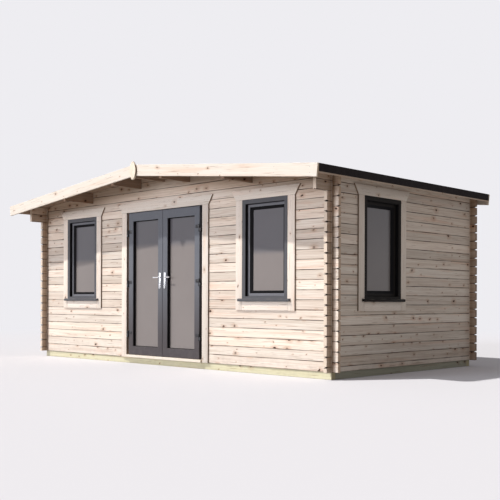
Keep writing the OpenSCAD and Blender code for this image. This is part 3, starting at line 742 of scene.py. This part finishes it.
def fit(name, pieces, material, slot, body, *nodes):
    """Joins the pieces, names them, gives them a finish and fixes them to a body, in place
    of the CAD nodes named."""
    o = joined(pieces)
    o.name = name
    o.data.name = name
    o.data.materials.clear()
    o.data.materials.append(material)
    hold(o)
    bpy.ops.object.shade_smooth_by_angle(angle=math.radians(35))
    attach(o, body)
    if nodes:
        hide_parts(*nodes)
    return o


def coat(node, material, width=0.0, segments=2):
    """Finish for a CAD node that stays, with its sharp edges eased."""
    o = NODES[node]
    o.data.materials.clear()
    o.data.materials.append(material)
    if width:
        weld = o.modifiers.new("weld", "WELD")
        weld.merge_threshold = 1e-5
        edge = o.modifiers.new("eased_edges", "BEVEL")
        edge.width = width
        edge.segments = segments
        edge.limit_method = "ANGLE"
        edge.angle_limit = math.radians(40)
        edge.use_clamp_overlap = True


def screw(at, out, radius, proud):
    """The head of a screw or nail sunk in a face that looks along -Y or, with out 1, +Y."""
    x, y, z = at
    start = y - (proud if out < 0 else HEAD_SUNK)
    return rod((x, start, z), "Y", HEAD_SUNK + proud, radius, 12, 0.0005, 1)


# ---------------------------------------------------------------- walls, base, purlins

for kept, finish, eased in (
        (("front_wall_left", "front_wall_right", "front_gable"), LOG_X, 0.0),
        (("back_wall", "back_gable"), LOG_BACK, 0.0),
        (("left_wall", "right_wall"), LOG_Y, 0.0),
        (("front_bearer", "back_bearer"), BEARER_X, 0.003),
        (("side_bearers", "floor_joists"), BEARER_Y_PAINTED_SHADE, 0.003),
        (("ridge_purlin", "side_purlins"), PURLIN, 0.003),
        (("eaves_boards",), EAVES, 0.002),
        (("front_bargeboards", "back_bargeboards"), BARGE, 0.003),
        (("front_finial", "back_finial"), FINIAL, 0.003),
        (("door_frame",), DOOR_FOIL, 0.0015)):
    for node in kept:
        coat(node, finish, eased)
coat("door_sill", SILL, 0.004, 3)


# ---------------------------------------------------------------- roof boards, floor, felt

ROOF_BOARDS = 38          # on each slope
ROOF_BOARD_T = 0.019
FLOOR_BOARDS = 30
FELT_T = 0.003
CAP_REACH = 0.15          # the ridge cap, down each slope
NAIL_PITCH = 0.1


def lay_roof_boards(side_name, side):
    node = side_name + "_roof_boards"
    low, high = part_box(node)
    reach = max(abs(low.x), abs(high.x))
    x0, x1 = sorted((0.0, side * reach))
    pitch = (high.y - low.y) / ROOF_BOARDS
    boards = []
    for i in range(ROOF_BOARDS):
        y = low.y + i * pitch
        boards.append(block((x0, y + 0.0003, high.z - ROOF_BOARD_T),
                            (x1, y + pitch - 0.0003, high.z), 0.003, 1))
    o = joined(boards)
    slide(o, lambda v: abs(v.x) > reach / 2, (0, 0, -ROOF_SLOPE * reach))
    fit(side_name + "_soffit_boards", [o], ROOF, "roof_board", "cabin", node)


lay_roof_boards("left", -1)
lay_roof_boards("right", 1)


def lay_floor():
    """Two boards beside the sill, then rows behind it with their end joints in turn."""
    low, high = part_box("floor_boards")
    sill_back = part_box("door_sill")[1].y + 0.001
    half_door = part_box("door_frame")[1].x + 0.003
    boards = [block((x0, low.y, low.z), (x1, sill_back - 0.0005, high.z), 0.0012, 1)
              for x0, x1 in ((low.x, -half_door), (half_door, high.x))]
    pitch = (high.y - sill_back) / FLOOR_BOARDS
    for i in range(FLOOR_BOARDS):
        y = sill_back + i * pitch
        joint = low.x + (high.x - low.x) * (0.38 if i % 2 else 0.61)
        for x0, x1 in ((low.x, joint - 0.0005), (joint + 0.0005, high.x)):
            boards.append(block((x0, y + 0.0004, low.z), (x1, y + pitch - 0.0004, high.z),
                                0.0015, 1))
    fit("floor_planks", boards, FLOOR, "floor", "cabin", "floor_boards")


lay_floor()


def nail_row(first, count):
    return joined([first] + [twin(first, Matrix.Translation((0, i * NAIL_PITCH, 0)))
                             for i in range(1, count)])


def lay_felt():
    """Sheets down each slope, each lapped over the next one down and nailed through, with a
    strip turned down at the eaves and a cap on the ridge."""
    low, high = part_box("roof_felt")
    reach = high.x
    crown = high.z
    sheets = []
    for side in (-1, 1):
        for i in range(FELT_SHEETS):
            a = i * FELT_WIDTH
            b = min(a + FELT_WIDTH + FELT_LAP, reach - 0.002)
            x0, x1 = sorted((side * a, side * b))
            sheet = block((x0, low.y, crown - FELT_T), (x1, high.y, crown), 0.001, 1)
            slide(sheet, lambda v, m=(a + b) / 2: abs(v.x) > m,
                  (0, 0, FELT_T - ROOF_SLOPE * (b - a)))
            slide(sheet, lambda v: True, (0, 0, -ROOF_SLOPE * a))
            sheets.append(sheet)
        x0, x1 = sorted((side * (reach - FELT_T), side * reach))
        edge = crown - ROOF_SLOPE * reach
        sheets.append(block((x0, low.y, low.z), (x1, high.y, edge), 0.001, 1))
        x0, x1 = sorted((0.0, side * CAP_REACH))
        cap = block((x0, low.y, crown - 0.0005), (x1, high.y, crown + 0.0025), 0.001, 1)
        slide(cap, lambda v: abs(v.x) > CAP_REACH / 2, (0, 0, -ROOF_SLOPE * CAP_REACH))
        sheets.append(cap)
    fit("felt_sheets", sheets, FELT, "felt", "cabin", "roof_felt")

    count = int((high.y - low.y - NAIL_PITCH) / NAIL_PITCH)
    y = low.y + NAIL_PITCH / 2
    rows = [nail_row(rod((reach - 0.0016, y, low.z + 0.02), "X", 0.0016, 0.006, 10, 0.0005, 1),
                     count)]
    x = FELT_WIDTH + FELT_LAP - 0.022
    rows.append(nail_row(rod((x, y, crown - ROOF_SLOPE * x + 0.0015), "Z", 0.0027, 0.006, 8,
                             0.0008, 1), count))
    for i in range(1, FELT_SHEETS - 1):
        down = i * FELT_WIDTH
        rows.append(twin(rows[1], Matrix.Translation((down, 0, -ROOF_SLOPE * down))))
    right = joined(rows)
    fit("felt_nails", [right, twin(right)], CLOUT, "felt", "cabin")


lay_felt()


# ---------------------------------------------------------------- trims

def splayed(low, high, half):
    """A header board whose ends splay outwards from half at its foot to its full width."""
    b = block(low, high, 0)
    mid = (low[0] + high[0]) / 2
    inset = (high[0] - low[0]) / 2 - half
    for side in (1, -1):
        slide(b, lambda v: (v.x - mid) * side > 0 and v.z < (low[2] + high[2]) / 2,
              (-inset * side, 0, 0))
    ease(b, 0.002)
    return b


TRIM_W = 0.110
HEADER_H = 0.120
HEADER_SPLAY = 0.078      # a header's top corners past the uprights
BOARD_GAP = 0.0004        # between trim boards


def opening_trims(middle, half, foot, head, top, y0, y1, sill_top):
    """Boards round one opening in a wall that faces -Y: uprights, header and, under a window
    sill, a bottom board. Gives (uprights, level boards, nails)."""
    uprights = [block((x, y0, foot), (x + TRIM_W, y1, head - BOARD_GAP), 0.002)
                for x in (middle - half - TRIM_W, middle + half)]
    splay = half + TRIM_W
    level = [splayed((middle - splay - HEADER_SPLAY, y0, head),
                     (middle + splay + HEADER_SPLAY, y1, top), splay)]
    points = [(middle + s * (half + TRIM_W / 2), y0, foot + 0.07 + (head - foot - 0.14) * t)
              for s in (-1, 1) for t in (0, 0.5, 1)]
    points += [(middle + s * (half + 0.04), y0, (head + top) / 2) for s in (-1, 1)]
    if sill_top:
        level.append(block((middle - half + BOARD_GAP, y0, foot),
                           (middle + half - BOARD_GAP, y1, sill_top), 0.002))
        points += [(middle + s * half * 0.6, y0, (foot + sill_top) / 2) for s in (-1, 1)]
    return uprights, level, [screw(p, -1, 0.0032, 0.0006) for p in points]


def right_box(node):
    """The box of a node's solids on the right of the middle."""
    co = [v.co for v in NODES[node].data.vertices if v.co.x > 0]
    return (Vector([min(v[k] for v in co) for k in range(3)]),
            Vector([max(v[k] for v in co) for k in range(3)]))


def trim_doorway():
    low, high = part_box("door_trim")
    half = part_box("door_frame")[1].x
    up, level, nails = opening_trims(0.0, half, low.z, high.z - HEADER_H, high.z, low.y, high.y,
                                     None)
    fit("doorway_uprights", up, TRIM_Z, "trim", "cabin", "door_trim")
    fit("doorway_header", level, TRIM_X, "trim", "cabin")
    fit("doorway_nails", nails, NAIL, "trim", "cabin")


trim_doorway()

FRONT_LOW, FRONT_HIGH = right_box("front_window_frames")
PANE_LOW, PANE_HIGH = right_box("front_window_glass")
TRIM_LOW, TRIM_HIGH = right_box("front_window_trims")
FRONT_MID = (PANE_LOW.x + PANE_HIGH.x) / 2
SIDE_PANE = right_box("side_window_glass")
SIDE_MID = (SIDE_PANE[0].y + SIDE_PANE[1].y) / 2
TO_SIDE = (Matrix.Translation((right_box("side_window_trims")[1].x, SIDE_MID, 0))
           @ Matrix.Rotation(math.pi / 2, 4, "Z")
           @ Matrix.Translation((-FRONT_MID, -TRIM_LOW.y, 0)))
HALF_WINDOW = (PANE_HIGH.x - PANE_LOW.x) / 2 + SASH_FACE + WINDOW_FACE + 0.0006


def four(pieces):
    """Front right, front left, side right and side left copies of a front right piece."""
    right = joined(pieces)
    turned = twin(right, TO_SIDE)
    return [right, twin(right)], [turned, twin(turned)]


def trim_windows():
    """Made round the front right window and copied to the others."""
    head = TRIM_HIGH.z - HEADER_H
    foot = TRIM_LOW.z
    up, level, nails = opening_trims(FRONT_MID, HALF_WINDOW + BOARD_GAP, foot, head, TRIM_HIGH.z,
                                     TRIM_LOW.y, TRIM_HIGH.y, foot + COURSE - 0.002)
    f, s = four(up)
    fit("front_window_uprights", f, TRIM_Z, "trim", "cabin", "front_window_trims")
    fit("side_window_uprights", s, TRIM_ZY, "trim", "cabin", "side_window_trims")
    f, s = four(level)
    fit("front_window_boards", f, TRIM_X, "trim", "cabin")
    fit("side_window_boards", s, TRIM_Y, "trim", "cabin")
    f, s = four(nails)
    fit("window_trim_nails", f + s, NAIL, "trim", "cabin")


trim_windows()


# ---------------------------------------------------------------- windows

def sloped(low, high, width):
    """A block whose front top edge is drawn down to shed water."""
    b = block(low, high, 0)
    slide(b, lambda v: v.y < high[1] - 0.01 and v.z > (low[2] + high[2]) / 2, (0, 0, -0.008))
    ease(b, width)
    return b


def make_windows():
    x0, x1 = FRONT_MID - HALF_WINDOW, FRONT_MID + HALF_WINDOW
    z0, z1 = FRONT_LOW.z, FRONT_HIGH.z
    y0, y1 = TRIM_LOW.y, FRONT_HIGH.y
    frame_ring = ring((x0, z0), (x1, z1), [
        (0, y1 - 0.001), (0, y0 + 0.002), (0.002, y0), (0.047, y0), (0.050, y0 + 0.0015),
        (0.052, y0 + 0.005), (0.052, y1 - 0.004), (0.048, y1), (0.001, y1)])
    sill = sloped((x0 - 0.048, y0 - 0.032, z0), (x1 + 0.048, y0 + 0.001, z0 + 0.026), 0.002)
    lip = block((x0 - 0.046, y0 - 0.031, z0 - 0.008), (x1 + 0.046, y0 - 0.026, z0 + 0.004),
                0.001, 1)
    caps = [sloped((x, y0 - 0.034, z0 - 0.003), (x + 0.006, y0, z0 + 0.028), 0.0015)
            for x in (x0 - 0.050, x1 + 0.044)]
    f, s = four([frame_ring, sill, lip] + caps)
    fit("front_frames_and_sills", f, FOIL, "frame", "cabin", "front_window_frames")
    fit("side_frames_and_sills", s, PAINTED_SHADE_FOIL, "frame", "cabin", "side_window_frames")

    ys = y0 + SASH_BACK
    yg = PANE_LOW.y
    inner = WINDOW_FACE + 0.0003
    a = (x0 + inner, z0 + inner)
    b = (x1 - inner, z1 - inner)
    sash = ring(a, b, [
        (0, y1 + 0.006), (0, ys + 0.005), (0.005, ys), (0.031, ys), (0.0335, ys + 0.001),
        (0.036, ys + 0.0035), (0.036, ys + 0.014), (0.062, yg - 0.001), (0.066, yg + 0.001),
        (0.066, yg + 0.011), (0.052, y1 + 0.006)])
    f, s = four([sash])
    fit("front_sashes", f, SASH_FOIL, "frame", "cabin", "front_window_sashes")
    fit("side_sashes", s, PAINTED_SHADE_FOIL, "frame", "cabin", "side_window_sashes")
    # Black rubber bead between sash and glass; its black also stands in for the shade in the
    # glazing rebate, as painted shade.
    bead = ring(a, b, [
        (0.0350, ys + 0.015), (0.0350, ys + 0.008), (0.0365, ys + 0.0065), (0.0395, ys + 0.007),
        (0.0620, yg - 0.008), (0.0655, yg - 0.007), (0.0670, yg - 0.004), (0.0670, yg + 0.0005),
        (0.0600, yg + 0.0005)])
    f, s = four([bead])
    fit("glazing_beads", f + s, RUBBER, "frame", "cabin")
    # A gasket at the glass, and on the frame's inner reveal a black liner that is painted shade
    # in the rebate.
    seal = [ring(a, b, [(0.0655, yg + 0.0005), (0.0655, yg - 0.003), (0.0675, yg - 0.004),
                        (0.0695, yg - 0.001), (0.0695, yg + 0.0005)]),
            ring((x0, z0), (x1, z1), [
                (0.0515, ys - 0.0005), (0.0515, y0 + 0.008), (0.0530, y0 + 0.0065),
                (0.0535, y0 + 0.008), (0.0535, ys - 0.0005)])]
    f, s = four(seal)
    fit("window_gaskets", f + s, RUBBER, "felt", "cabin")

    pane = [block((PANE_LOW.x - 0.001, outer, PANE_LOW.z - 0.001),
                  (PANE_HIGH.x + 0.001, back, PANE_HIGH.z + 0.001), 0.0005, 1)
            for outer, back in ((yg, yg + PANE_T), (yg + 0.0075, yg + 0.010))]
    f, s = four(pane)
    fit("front_panes", f, GLASS, "glass", "cabin", "front_window_glass")
    fit("side_panes", s, SIDE_GLASS, "glass", "cabin", "side_window_glass")


make_windows()


# ---------------------------------------------------------------- doors

LEAF_LOW, LEAF_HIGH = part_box("right_door_leaf")
DOOR_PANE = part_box("right_door_glass")
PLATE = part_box("right_door_plates")
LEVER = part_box("right_door_lever")
HINGE_ZS = (LEAF_LOW.z + HINGE_END, (LEAF_LOW.z + LEAF_HIGH.z) / 2, LEAF_HIGH.z - HINGE_END)
PIN = (LEAF_HIGH.x + 0.0025, LEAF_LOW.y - 0.010)


def both_leaves(name, pieces, material, slot, *nodes):
    """Fits a right-hand piece and its mirror copy to their leaves."""
    right = joined(pieces)
    left = twin(right)
    fit("right_" + name, [right], material, slot, "right_door", *["right_" + n for n in nodes])
    fit("left_" + name, [left], material, slot, "left_door", *["left_" + n for n in nodes])


def make_leaves():
    y0, y1 = LEAF_LOW.y, LEAF_HIGH.y
    yg0, yg1 = DOOR_PANE[0].y, DOOR_PANE[1].y
    a, b = (LEAF_LOW.x, LEAF_LOW.z), (LEAF_HIGH.x, LEAF_HIGH.z)
    leaf = ring(a, b, [
        (0, y1 - 0.002), (0, y0 + 0.0025), (0.0025, y0), (0.089, y0), (0.0925, y0 + 0.0015),
        (0.0945, y0 + 0.005), (0.095, y0 + 0.010), (0.095, yg1 + 0.001), (0.084, y1 - 0.001),
        (0.080, y1), (0.002, y1)])
    slide(leaf, lambda v: v.x < LEAF_LOW.x + 0.003 and v.y > y0 + 0.01, (0.009, 0, 0))
    for z, up in ((LEAF_LOW.z, 1), (LEAF_HIGH.z, -1)):
        slide(leaf, lambda v: 0.07 < (v.z - z) * up < 0.1, (0, 0, RAIL_EXTRA * up))
    both_leaves("leaf_frame", [leaf], DOOR_FOIL, "frame", "door_leaf")
    c, d = (a[0], a[1] + RAIL_EXTRA), (b[0], b[1] - RAIL_EXTRA)
    seals = [ring(c, d, [(0.0942, yg0 + 0.0005), (0.0942, yg0 - 0.004), (0.097, yg0 - 0.005),
                         (0.100, yg0 - 0.001), (0.100, yg0 + 0.0005)]),
             ring(c, d, [(0.0942, yg1 - 0.0005), (0.0942, yg1 + 0.002), (0.097, yg1 + 0.003),
                         (0.100, yg1 + 0.001), (0.100, yg1 - 0.0005)]),
             # A black liner on the rebate between the leaf's face and the glass: painted shade in
             # the rebate.
             ring(c, d, [(0.0945, yg0 - 0.0055), (0.0945, y0 + 0.012), (0.0955, y0 + 0.0105),
                         (0.0965, y0 + 0.012), (0.0965, yg0 - 0.0055)])]
    both_leaves("leaf_gaskets", seals, RUBBER, "felt")
    px0, px1 = LEAF_LOW.x + LEAF_FACE - 0.003, LEAF_HIGH.x - LEAF_FACE + 0.003
    rail = LEAF_FACE + RAIL_EXTRA - 0.003
    pz0, pz1 = LEAF_LOW.z + rail, LEAF_HIGH.z - rail
    panes = [block((px0, y, pz0), (px1, y + PANE_T, pz1), 0.0005, 1)
             for y in (yg0, yg1 - PANE_T)]
    both_leaves("leaf_panes", panes, DOOR_GLASS, "glass", "door_glass")
    s0, s1 = yg0 + PANE_T + 0.0002, yg1 - PANE_T - 0.0002
    bar = ring(c, d, [(0.094, s0), (0.103, s0), (0.103, s1), (0.094, s1)])
    both_leaves("leaf_spacers", [bar], CHROME, "handle")


make_leaves()


PLATE_T = 0.007
KEY_DROP = 0.092          # keyway under the lever


def from_face(front, out, low, high, x, z0, z1, width, segments):
    """A block on a plate's front, from low to high out of it, x each side of the spindle."""
    y0, y1 = sorted((front + out * low, front + out * high))
    return block((LEVER_X - x, y0, z0), (LEVER_X + x, y1, z1), width, segments)


def make_plates():
    """Long plates inside and outside, each with a lever collar, a lock cylinder and two
    cross-headed screws."""
    pieces, dark = [], []
    for face, out in ((LEAF_LOW.y, -1), (LEAF_HIGH.y, 1)):
        front = face + out * PLATE_T
        y0, y1 = sorted((face, front))
        p = block((PLATE[0].x, y0, PLATE[0].z), (PLATE[1].x, y1, PLATE[1].z), 0)
        pick(p, lambda v: True, "EDGE")
        leave()
        for e in p.data.edges:
            u, v = (p.data.vertices[i].co for i in e.vertices)
            e.select = abs(u.y - v.y) > 1e-4
        bpy.ops.object.mode_set(mode="EDIT")
        bpy.ops.mesh.bevel(offset=0.010, segments=6, affect="EDGES")
        leave()
        pick(p, lambda v: abs(v.y - front) < 1e-5, "FACE")
        bpy.ops.mesh.inset(thickness=0.003, depth=0.001)
        leave()
        pieces.append(p)
        z = LEVER_Z - KEY_DROP
        collar, cylinder = (front, front) if out > 0 else (front - 0.006, front - 0.004)
        pieces.append(rod((LEVER_X, collar, LEVER_Z), "Y", 0.006, 0.0145, 32, 0.0015, 2))
        pieces.append(rod((LEVER_X, cylinder, z), "Y", 0.004, 0.0088, 28, 0.0008, 2))
        pieces.append(from_face(front, out, 0, 0.004, 0.0052, z - 0.020, z, 0.0015, 2))
        dark.append(from_face(front, out, 0, 0.0044, 0.0011, z - 0.005, z + 0.004, 0.0003, 1))
        for sz in (PLATE[0].z + 0.012, PLATE[1].z - 0.012):
            pieces.append(screw((LEVER_X, front, sz), out, 0.0042, 0.0018))
            top = front + out * 0.0014
            for dx, dz in ((0.0026, 0.0005), (0.0005, 0.0026)):
                dark.append(block((LEVER_X - dx, top - 0.0006, sz - dz),
                                  (LEVER_X + dx, top + 0.0008, sz + dz), 0.0001, 1))
    both_leaves("back_plates", pieces, CHROME, "handle", "door_plates")
    both_leaves("keyways", dark, BLACK, "hinge")


make_plates()


def draw_out(step, thin, grow, centre):
    """Extrudes the open face along X and scales it about its new centre."""
    bpy.ops.mesh.extrude_region_move(TRANSFORM_OT_translate={"value": (step, 0, 0)})
    bpy.ops.transform.resize(value=(1, thin, grow), center_override=centre)


def make_levers():
    """A round neck that bends through a quarter turn into a flat, tapering grip."""
    bend = 0.016
    end = LEVER[1].x - 0.0005
    bars = []
    for out, tip, plate in ((-1, LEVER[0].y, LEAF_LOW.y - 0.008),
                            (1, LEVER[1].y, LEAF_HIGH.y + 0.008)):
        root = plate + out * 0.0005
        grip_y = tip - out * 0.009
        clear()
        bpy.ops.mesh.primitive_circle_add(vertices=20, radius=0.0075, fill_type="NGON",
                                          location=(LEVER_X, root, LEVER_Z),
                                          rotation=(math.pi / 2, 0, 0))
        o = settle(bpy.context.object)
        edit_all(o, "FACE")
        run = (grip_y - out * bend) - root
        bpy.ops.mesh.extrude_region_move(TRANSFORM_OT_translate={"value": (0, run, 0)})
        bpy.ops.mesh.spin(steps=8, angle=math.pi / 2 * (-out),
                          center=(LEVER_X + bend, grip_y - out * bend, LEVER_Z),
                          axis=(0, 0, 1))
        x = LEVER_X + bend
        for step, thin, grow in ((0.018, 0.92, 1.18), (0.022, 0.93, 1.06), (0.022, 0.95, 1.0),
                                 (0.018, 0.97, 1.0)):
            x += step
            draw_out(step, thin, grow, (x, grip_y, LEVER_Z))
        for stop, shrink in ((end - 0.004, 1.0), (end - 0.001, 0.85), (end, 0.7)):
            draw_out(stop - x, shrink, shrink, (stop, grip_y, LEVER_Z))
            x = stop
        bpy.ops.mesh.select_all(action="SELECT")
        bpy.ops.mesh.remove_doubles(threshold=1e-6)
        turn_outwards()
        number(o)
        bars.append(o)
        collar = root if out > 0 else plate - 0.0095
        bars.append(rod((LEVER_X, collar, LEVER_Z), "Y", 0.009, 0.0100, 28, 0.0015, 2))
    bars.append(rod((LEVER_X, LEAF_LOW.y - 0.020, LEVER_Z), "Y",
                    LEAF_HIGH.y - LEAF_LOW.y + 0.040, 0.0049, 16, 0.0005, 1))
    right = joined(bars)
    left = twin(right)
    fit("right_lever_handle", [right], CHROME, "handle", "right_lever", "right_door_lever")
    fit("left_lever_handle", [left], CHROME, "handle", "left_lever", "left_door_lever")


make_levers()


KNUCKLE_H = 0.0435
KNUCKLE_R = 0.0080


def make_hinges():
    """Three hinges a leaf: knuckles on one pin, a screwed plate and a bracket on the frame."""
    on_leaf, on_frame, heads = [], [], []
    px, py = PIN
    face = LEAF_LOW.y
    frame_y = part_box("door_frame")[0].y
    for z in HINGE_ZS:
        on_leaf += [
            rod((px, py, z + 0.0005), "Z", KNUCKLE_H, KNUCKLE_R, 24, 0.0012, 2),
            rod((px, py, z + 0.044), "Z", 0.004, 0.0062, 20, 0.0018, 3),
            block((px - HINGE_W + 0.001, face - 0.005, z + 0.001),
                  (px + 0.001, face + 0.0005, z + KNUCKLE_H), 0.0015, 2)]
        on_frame += [
            rod((px, py, z - 0.044), "Z", KNUCKLE_H, KNUCKLE_R, 24, 0.0012, 2),
            rod((px, py, z - 0.048), "Z", 0.004, 0.0062, 20, 0.0018, 3),
            rod((px, py, z - 0.010), "Z", 0.050, 0.0029, 12, 0.0003, 1),
            block((px, py - 0.004, z - KNUCKLE_H), (px + 0.030, py + 0.004, z - 0.001),
                  0.0015, 2),
            block((px + 0.016, py, z - KNUCKLE_H), (px + 0.030, frame_y + 0.001, z - 0.001),
                  0.0015, 2)]
        heads += [screw((px - dx, face - 0.005, z + dz), -1, 0.0038, 0.0008)
                  for dx in (0.020, 0.058) for dz in (0.012, 0.033)]
    both_leaves("hinge_knuckles", on_leaf, BLACK, "hinge", "leaf_hinges")
    both_leaves("hinge_screws", heads, BLACK, "hinge")
    right = joined(on_frame)
    fit("frame_knuckles", [right, twin(right)], BLACK, "hinge", "cabin", "frame_hinges")


make_hinges()


def door_seals():
    """Black weather strips on the face of the stops."""
    y = LEAF_HIGH.y + 0.006
    half = LEAF_HIGH.x - 0.010
    z0, z1 = LEAF_LOW.z + 0.004, LEAF_HIGH.z - 0.010
    strips = [block((s * half - 0.003, y - 0.003, z0), (s * half + 0.003, y + 0.0005, z1),
                    0.001, 2) for s in (-1, 1)]
    strips += [block((-half, y - 0.003, z - 0.003), (half, y + 0.0005, z + 0.003), 0.001, 2)
               for z in (z0, z1)]
    fit("door_weather_strips", strips, RUBBER, "felt", "cabin")


door_seals()


# ---------------------------------------------------------------- fixings in the roof edge

BARGE_MID = 0.072         # middle of a bargeboard, down from its peak
BARGE_SCREWS = (0.497, 1.620, 2.450, 2.960)


def roof_fixings():
    """Screws in pairs where the bargeboards cross a purlin or a board, and in the finials."""
    heads = []
    for node, k, out in (("front_bargeboards", 0, -1), ("back_bargeboards", 1, 1)):
        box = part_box(node)
        crown = box[1].z - BARGE_MID
        heads += [screw((s * x, box[k].y, crown - ROOF_SLOPE * x + dz), out, 0.004, 0.0006)
                  for x in BARGE_SCREWS for s in (-1, 1) for dz in (-0.032, 0.032)]
    for node, k, out in (("front_finial", 0, -1), ("back_finial", 1, 1)):
        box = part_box(node)
        mid = (box[0].z + box[1].z) / 2
        heads += [screw((0.0, box[k].y, mid + dz), out, 0.004, 0.0) for dz in (-0.060, 0.0)]
    fit("roof_edge_screws", heads, NAIL, "trim", "cabin")


roof_fixings()


# ---------------------------------------------------------------- studio

def seen(s):
    """1 for rays that show the background: straight, reflected or through glass."""
    path = s.node("LightPath").outputs
    total = s.maths("MAXIMUM", path["Is Camera Ray"], path["Is Glossy Ray"])
    return s.maths("MAXIMUM", total, path["Is Transmission Ray"])


def mixed(s, share, first, second, output):
    """Mixes two shaders into the tree's output."""
    mix = s.node("MixShader")
    for socket, value in zip(mix.inputs, (share, first.outputs[0], second.outputs[0])):
        s.put(value, socket)
    s.put(mix.outputs[0], s.node(output).inputs[0])


def set_world(fill):
    """An even soft fill, behind which plain paper shows."""
    world = bpy.data.worlds.new("studio")
    bpy.context.scene.world = world
    world.use_nodes = True
    world.node_tree.nodes.clear()
    s = Sheet(world.node_tree)
    soft = s.node("Background")
    plain(soft, Color=(0.975, 0.955, 0.985, 1), Strength=fill)
    paper = s.node("Background")
    plain(paper, Color=(*PAPER, 1))
    mixed(s, seen(s), soft, paper, "OutputWorld")


FLOOR_LIT = (0.36, 0.355, 0.35)           # what throws light back at the cabin
FLOOR_SHOWN = (0.758, 0.746, 0.772)


def set_floor():
    """A pale floor that keeps the shadow and turns into the paper 7 to 15 m out."""
    clear()
    bpy.ops.mesh.primitive_circle_add(vertices=64, radius=90, fill_type="NGON",
                                      location=(0, 0, -0.001))
    floor = settle(bpy.context.object)
    floor.name = "studio_floor"
    m = bpy.data.materials.new("studio_paper")
    m.use_nodes = True
    m.node_tree.nodes.clear()
    s = Sheet(m.node_tree)
    paint = s.node("BsdfDiffuse")
    s.put(s.blend(seen(s), FLOOR_LIT, FLOOR_SHOWN), paint.inputs["Color"])
    glow = s.node("Emission")
    plain(glow, Color=(*PAPER, 1))
    away = s.node("VectorMath", operation="LENGTH")
    s.put(s.node("TexCoord").outputs["Object"], away.inputs[0])
    far = s.ramp(away.outputs["Value"], 7.0, 15.0)
    mixed(s, s.times(far, seen(s)), paint, glow, "OutputMaterial")
    floor.data.materials.append(m)


set_camera()
set_world(fill=0.315)
sun("key", (0.318, 0.50, -0.767), strength=3.0, spread=0.025, colour=(1.0, 0.985, 0.955))
sun("front_fill", (0.35, 1.0, -0.15), strength=1.76, spread=0.5, colour=(0.98, 0.99, 1.08))
set_floor()
bpy.context.scene.view_settings.view_transform = "Standard"
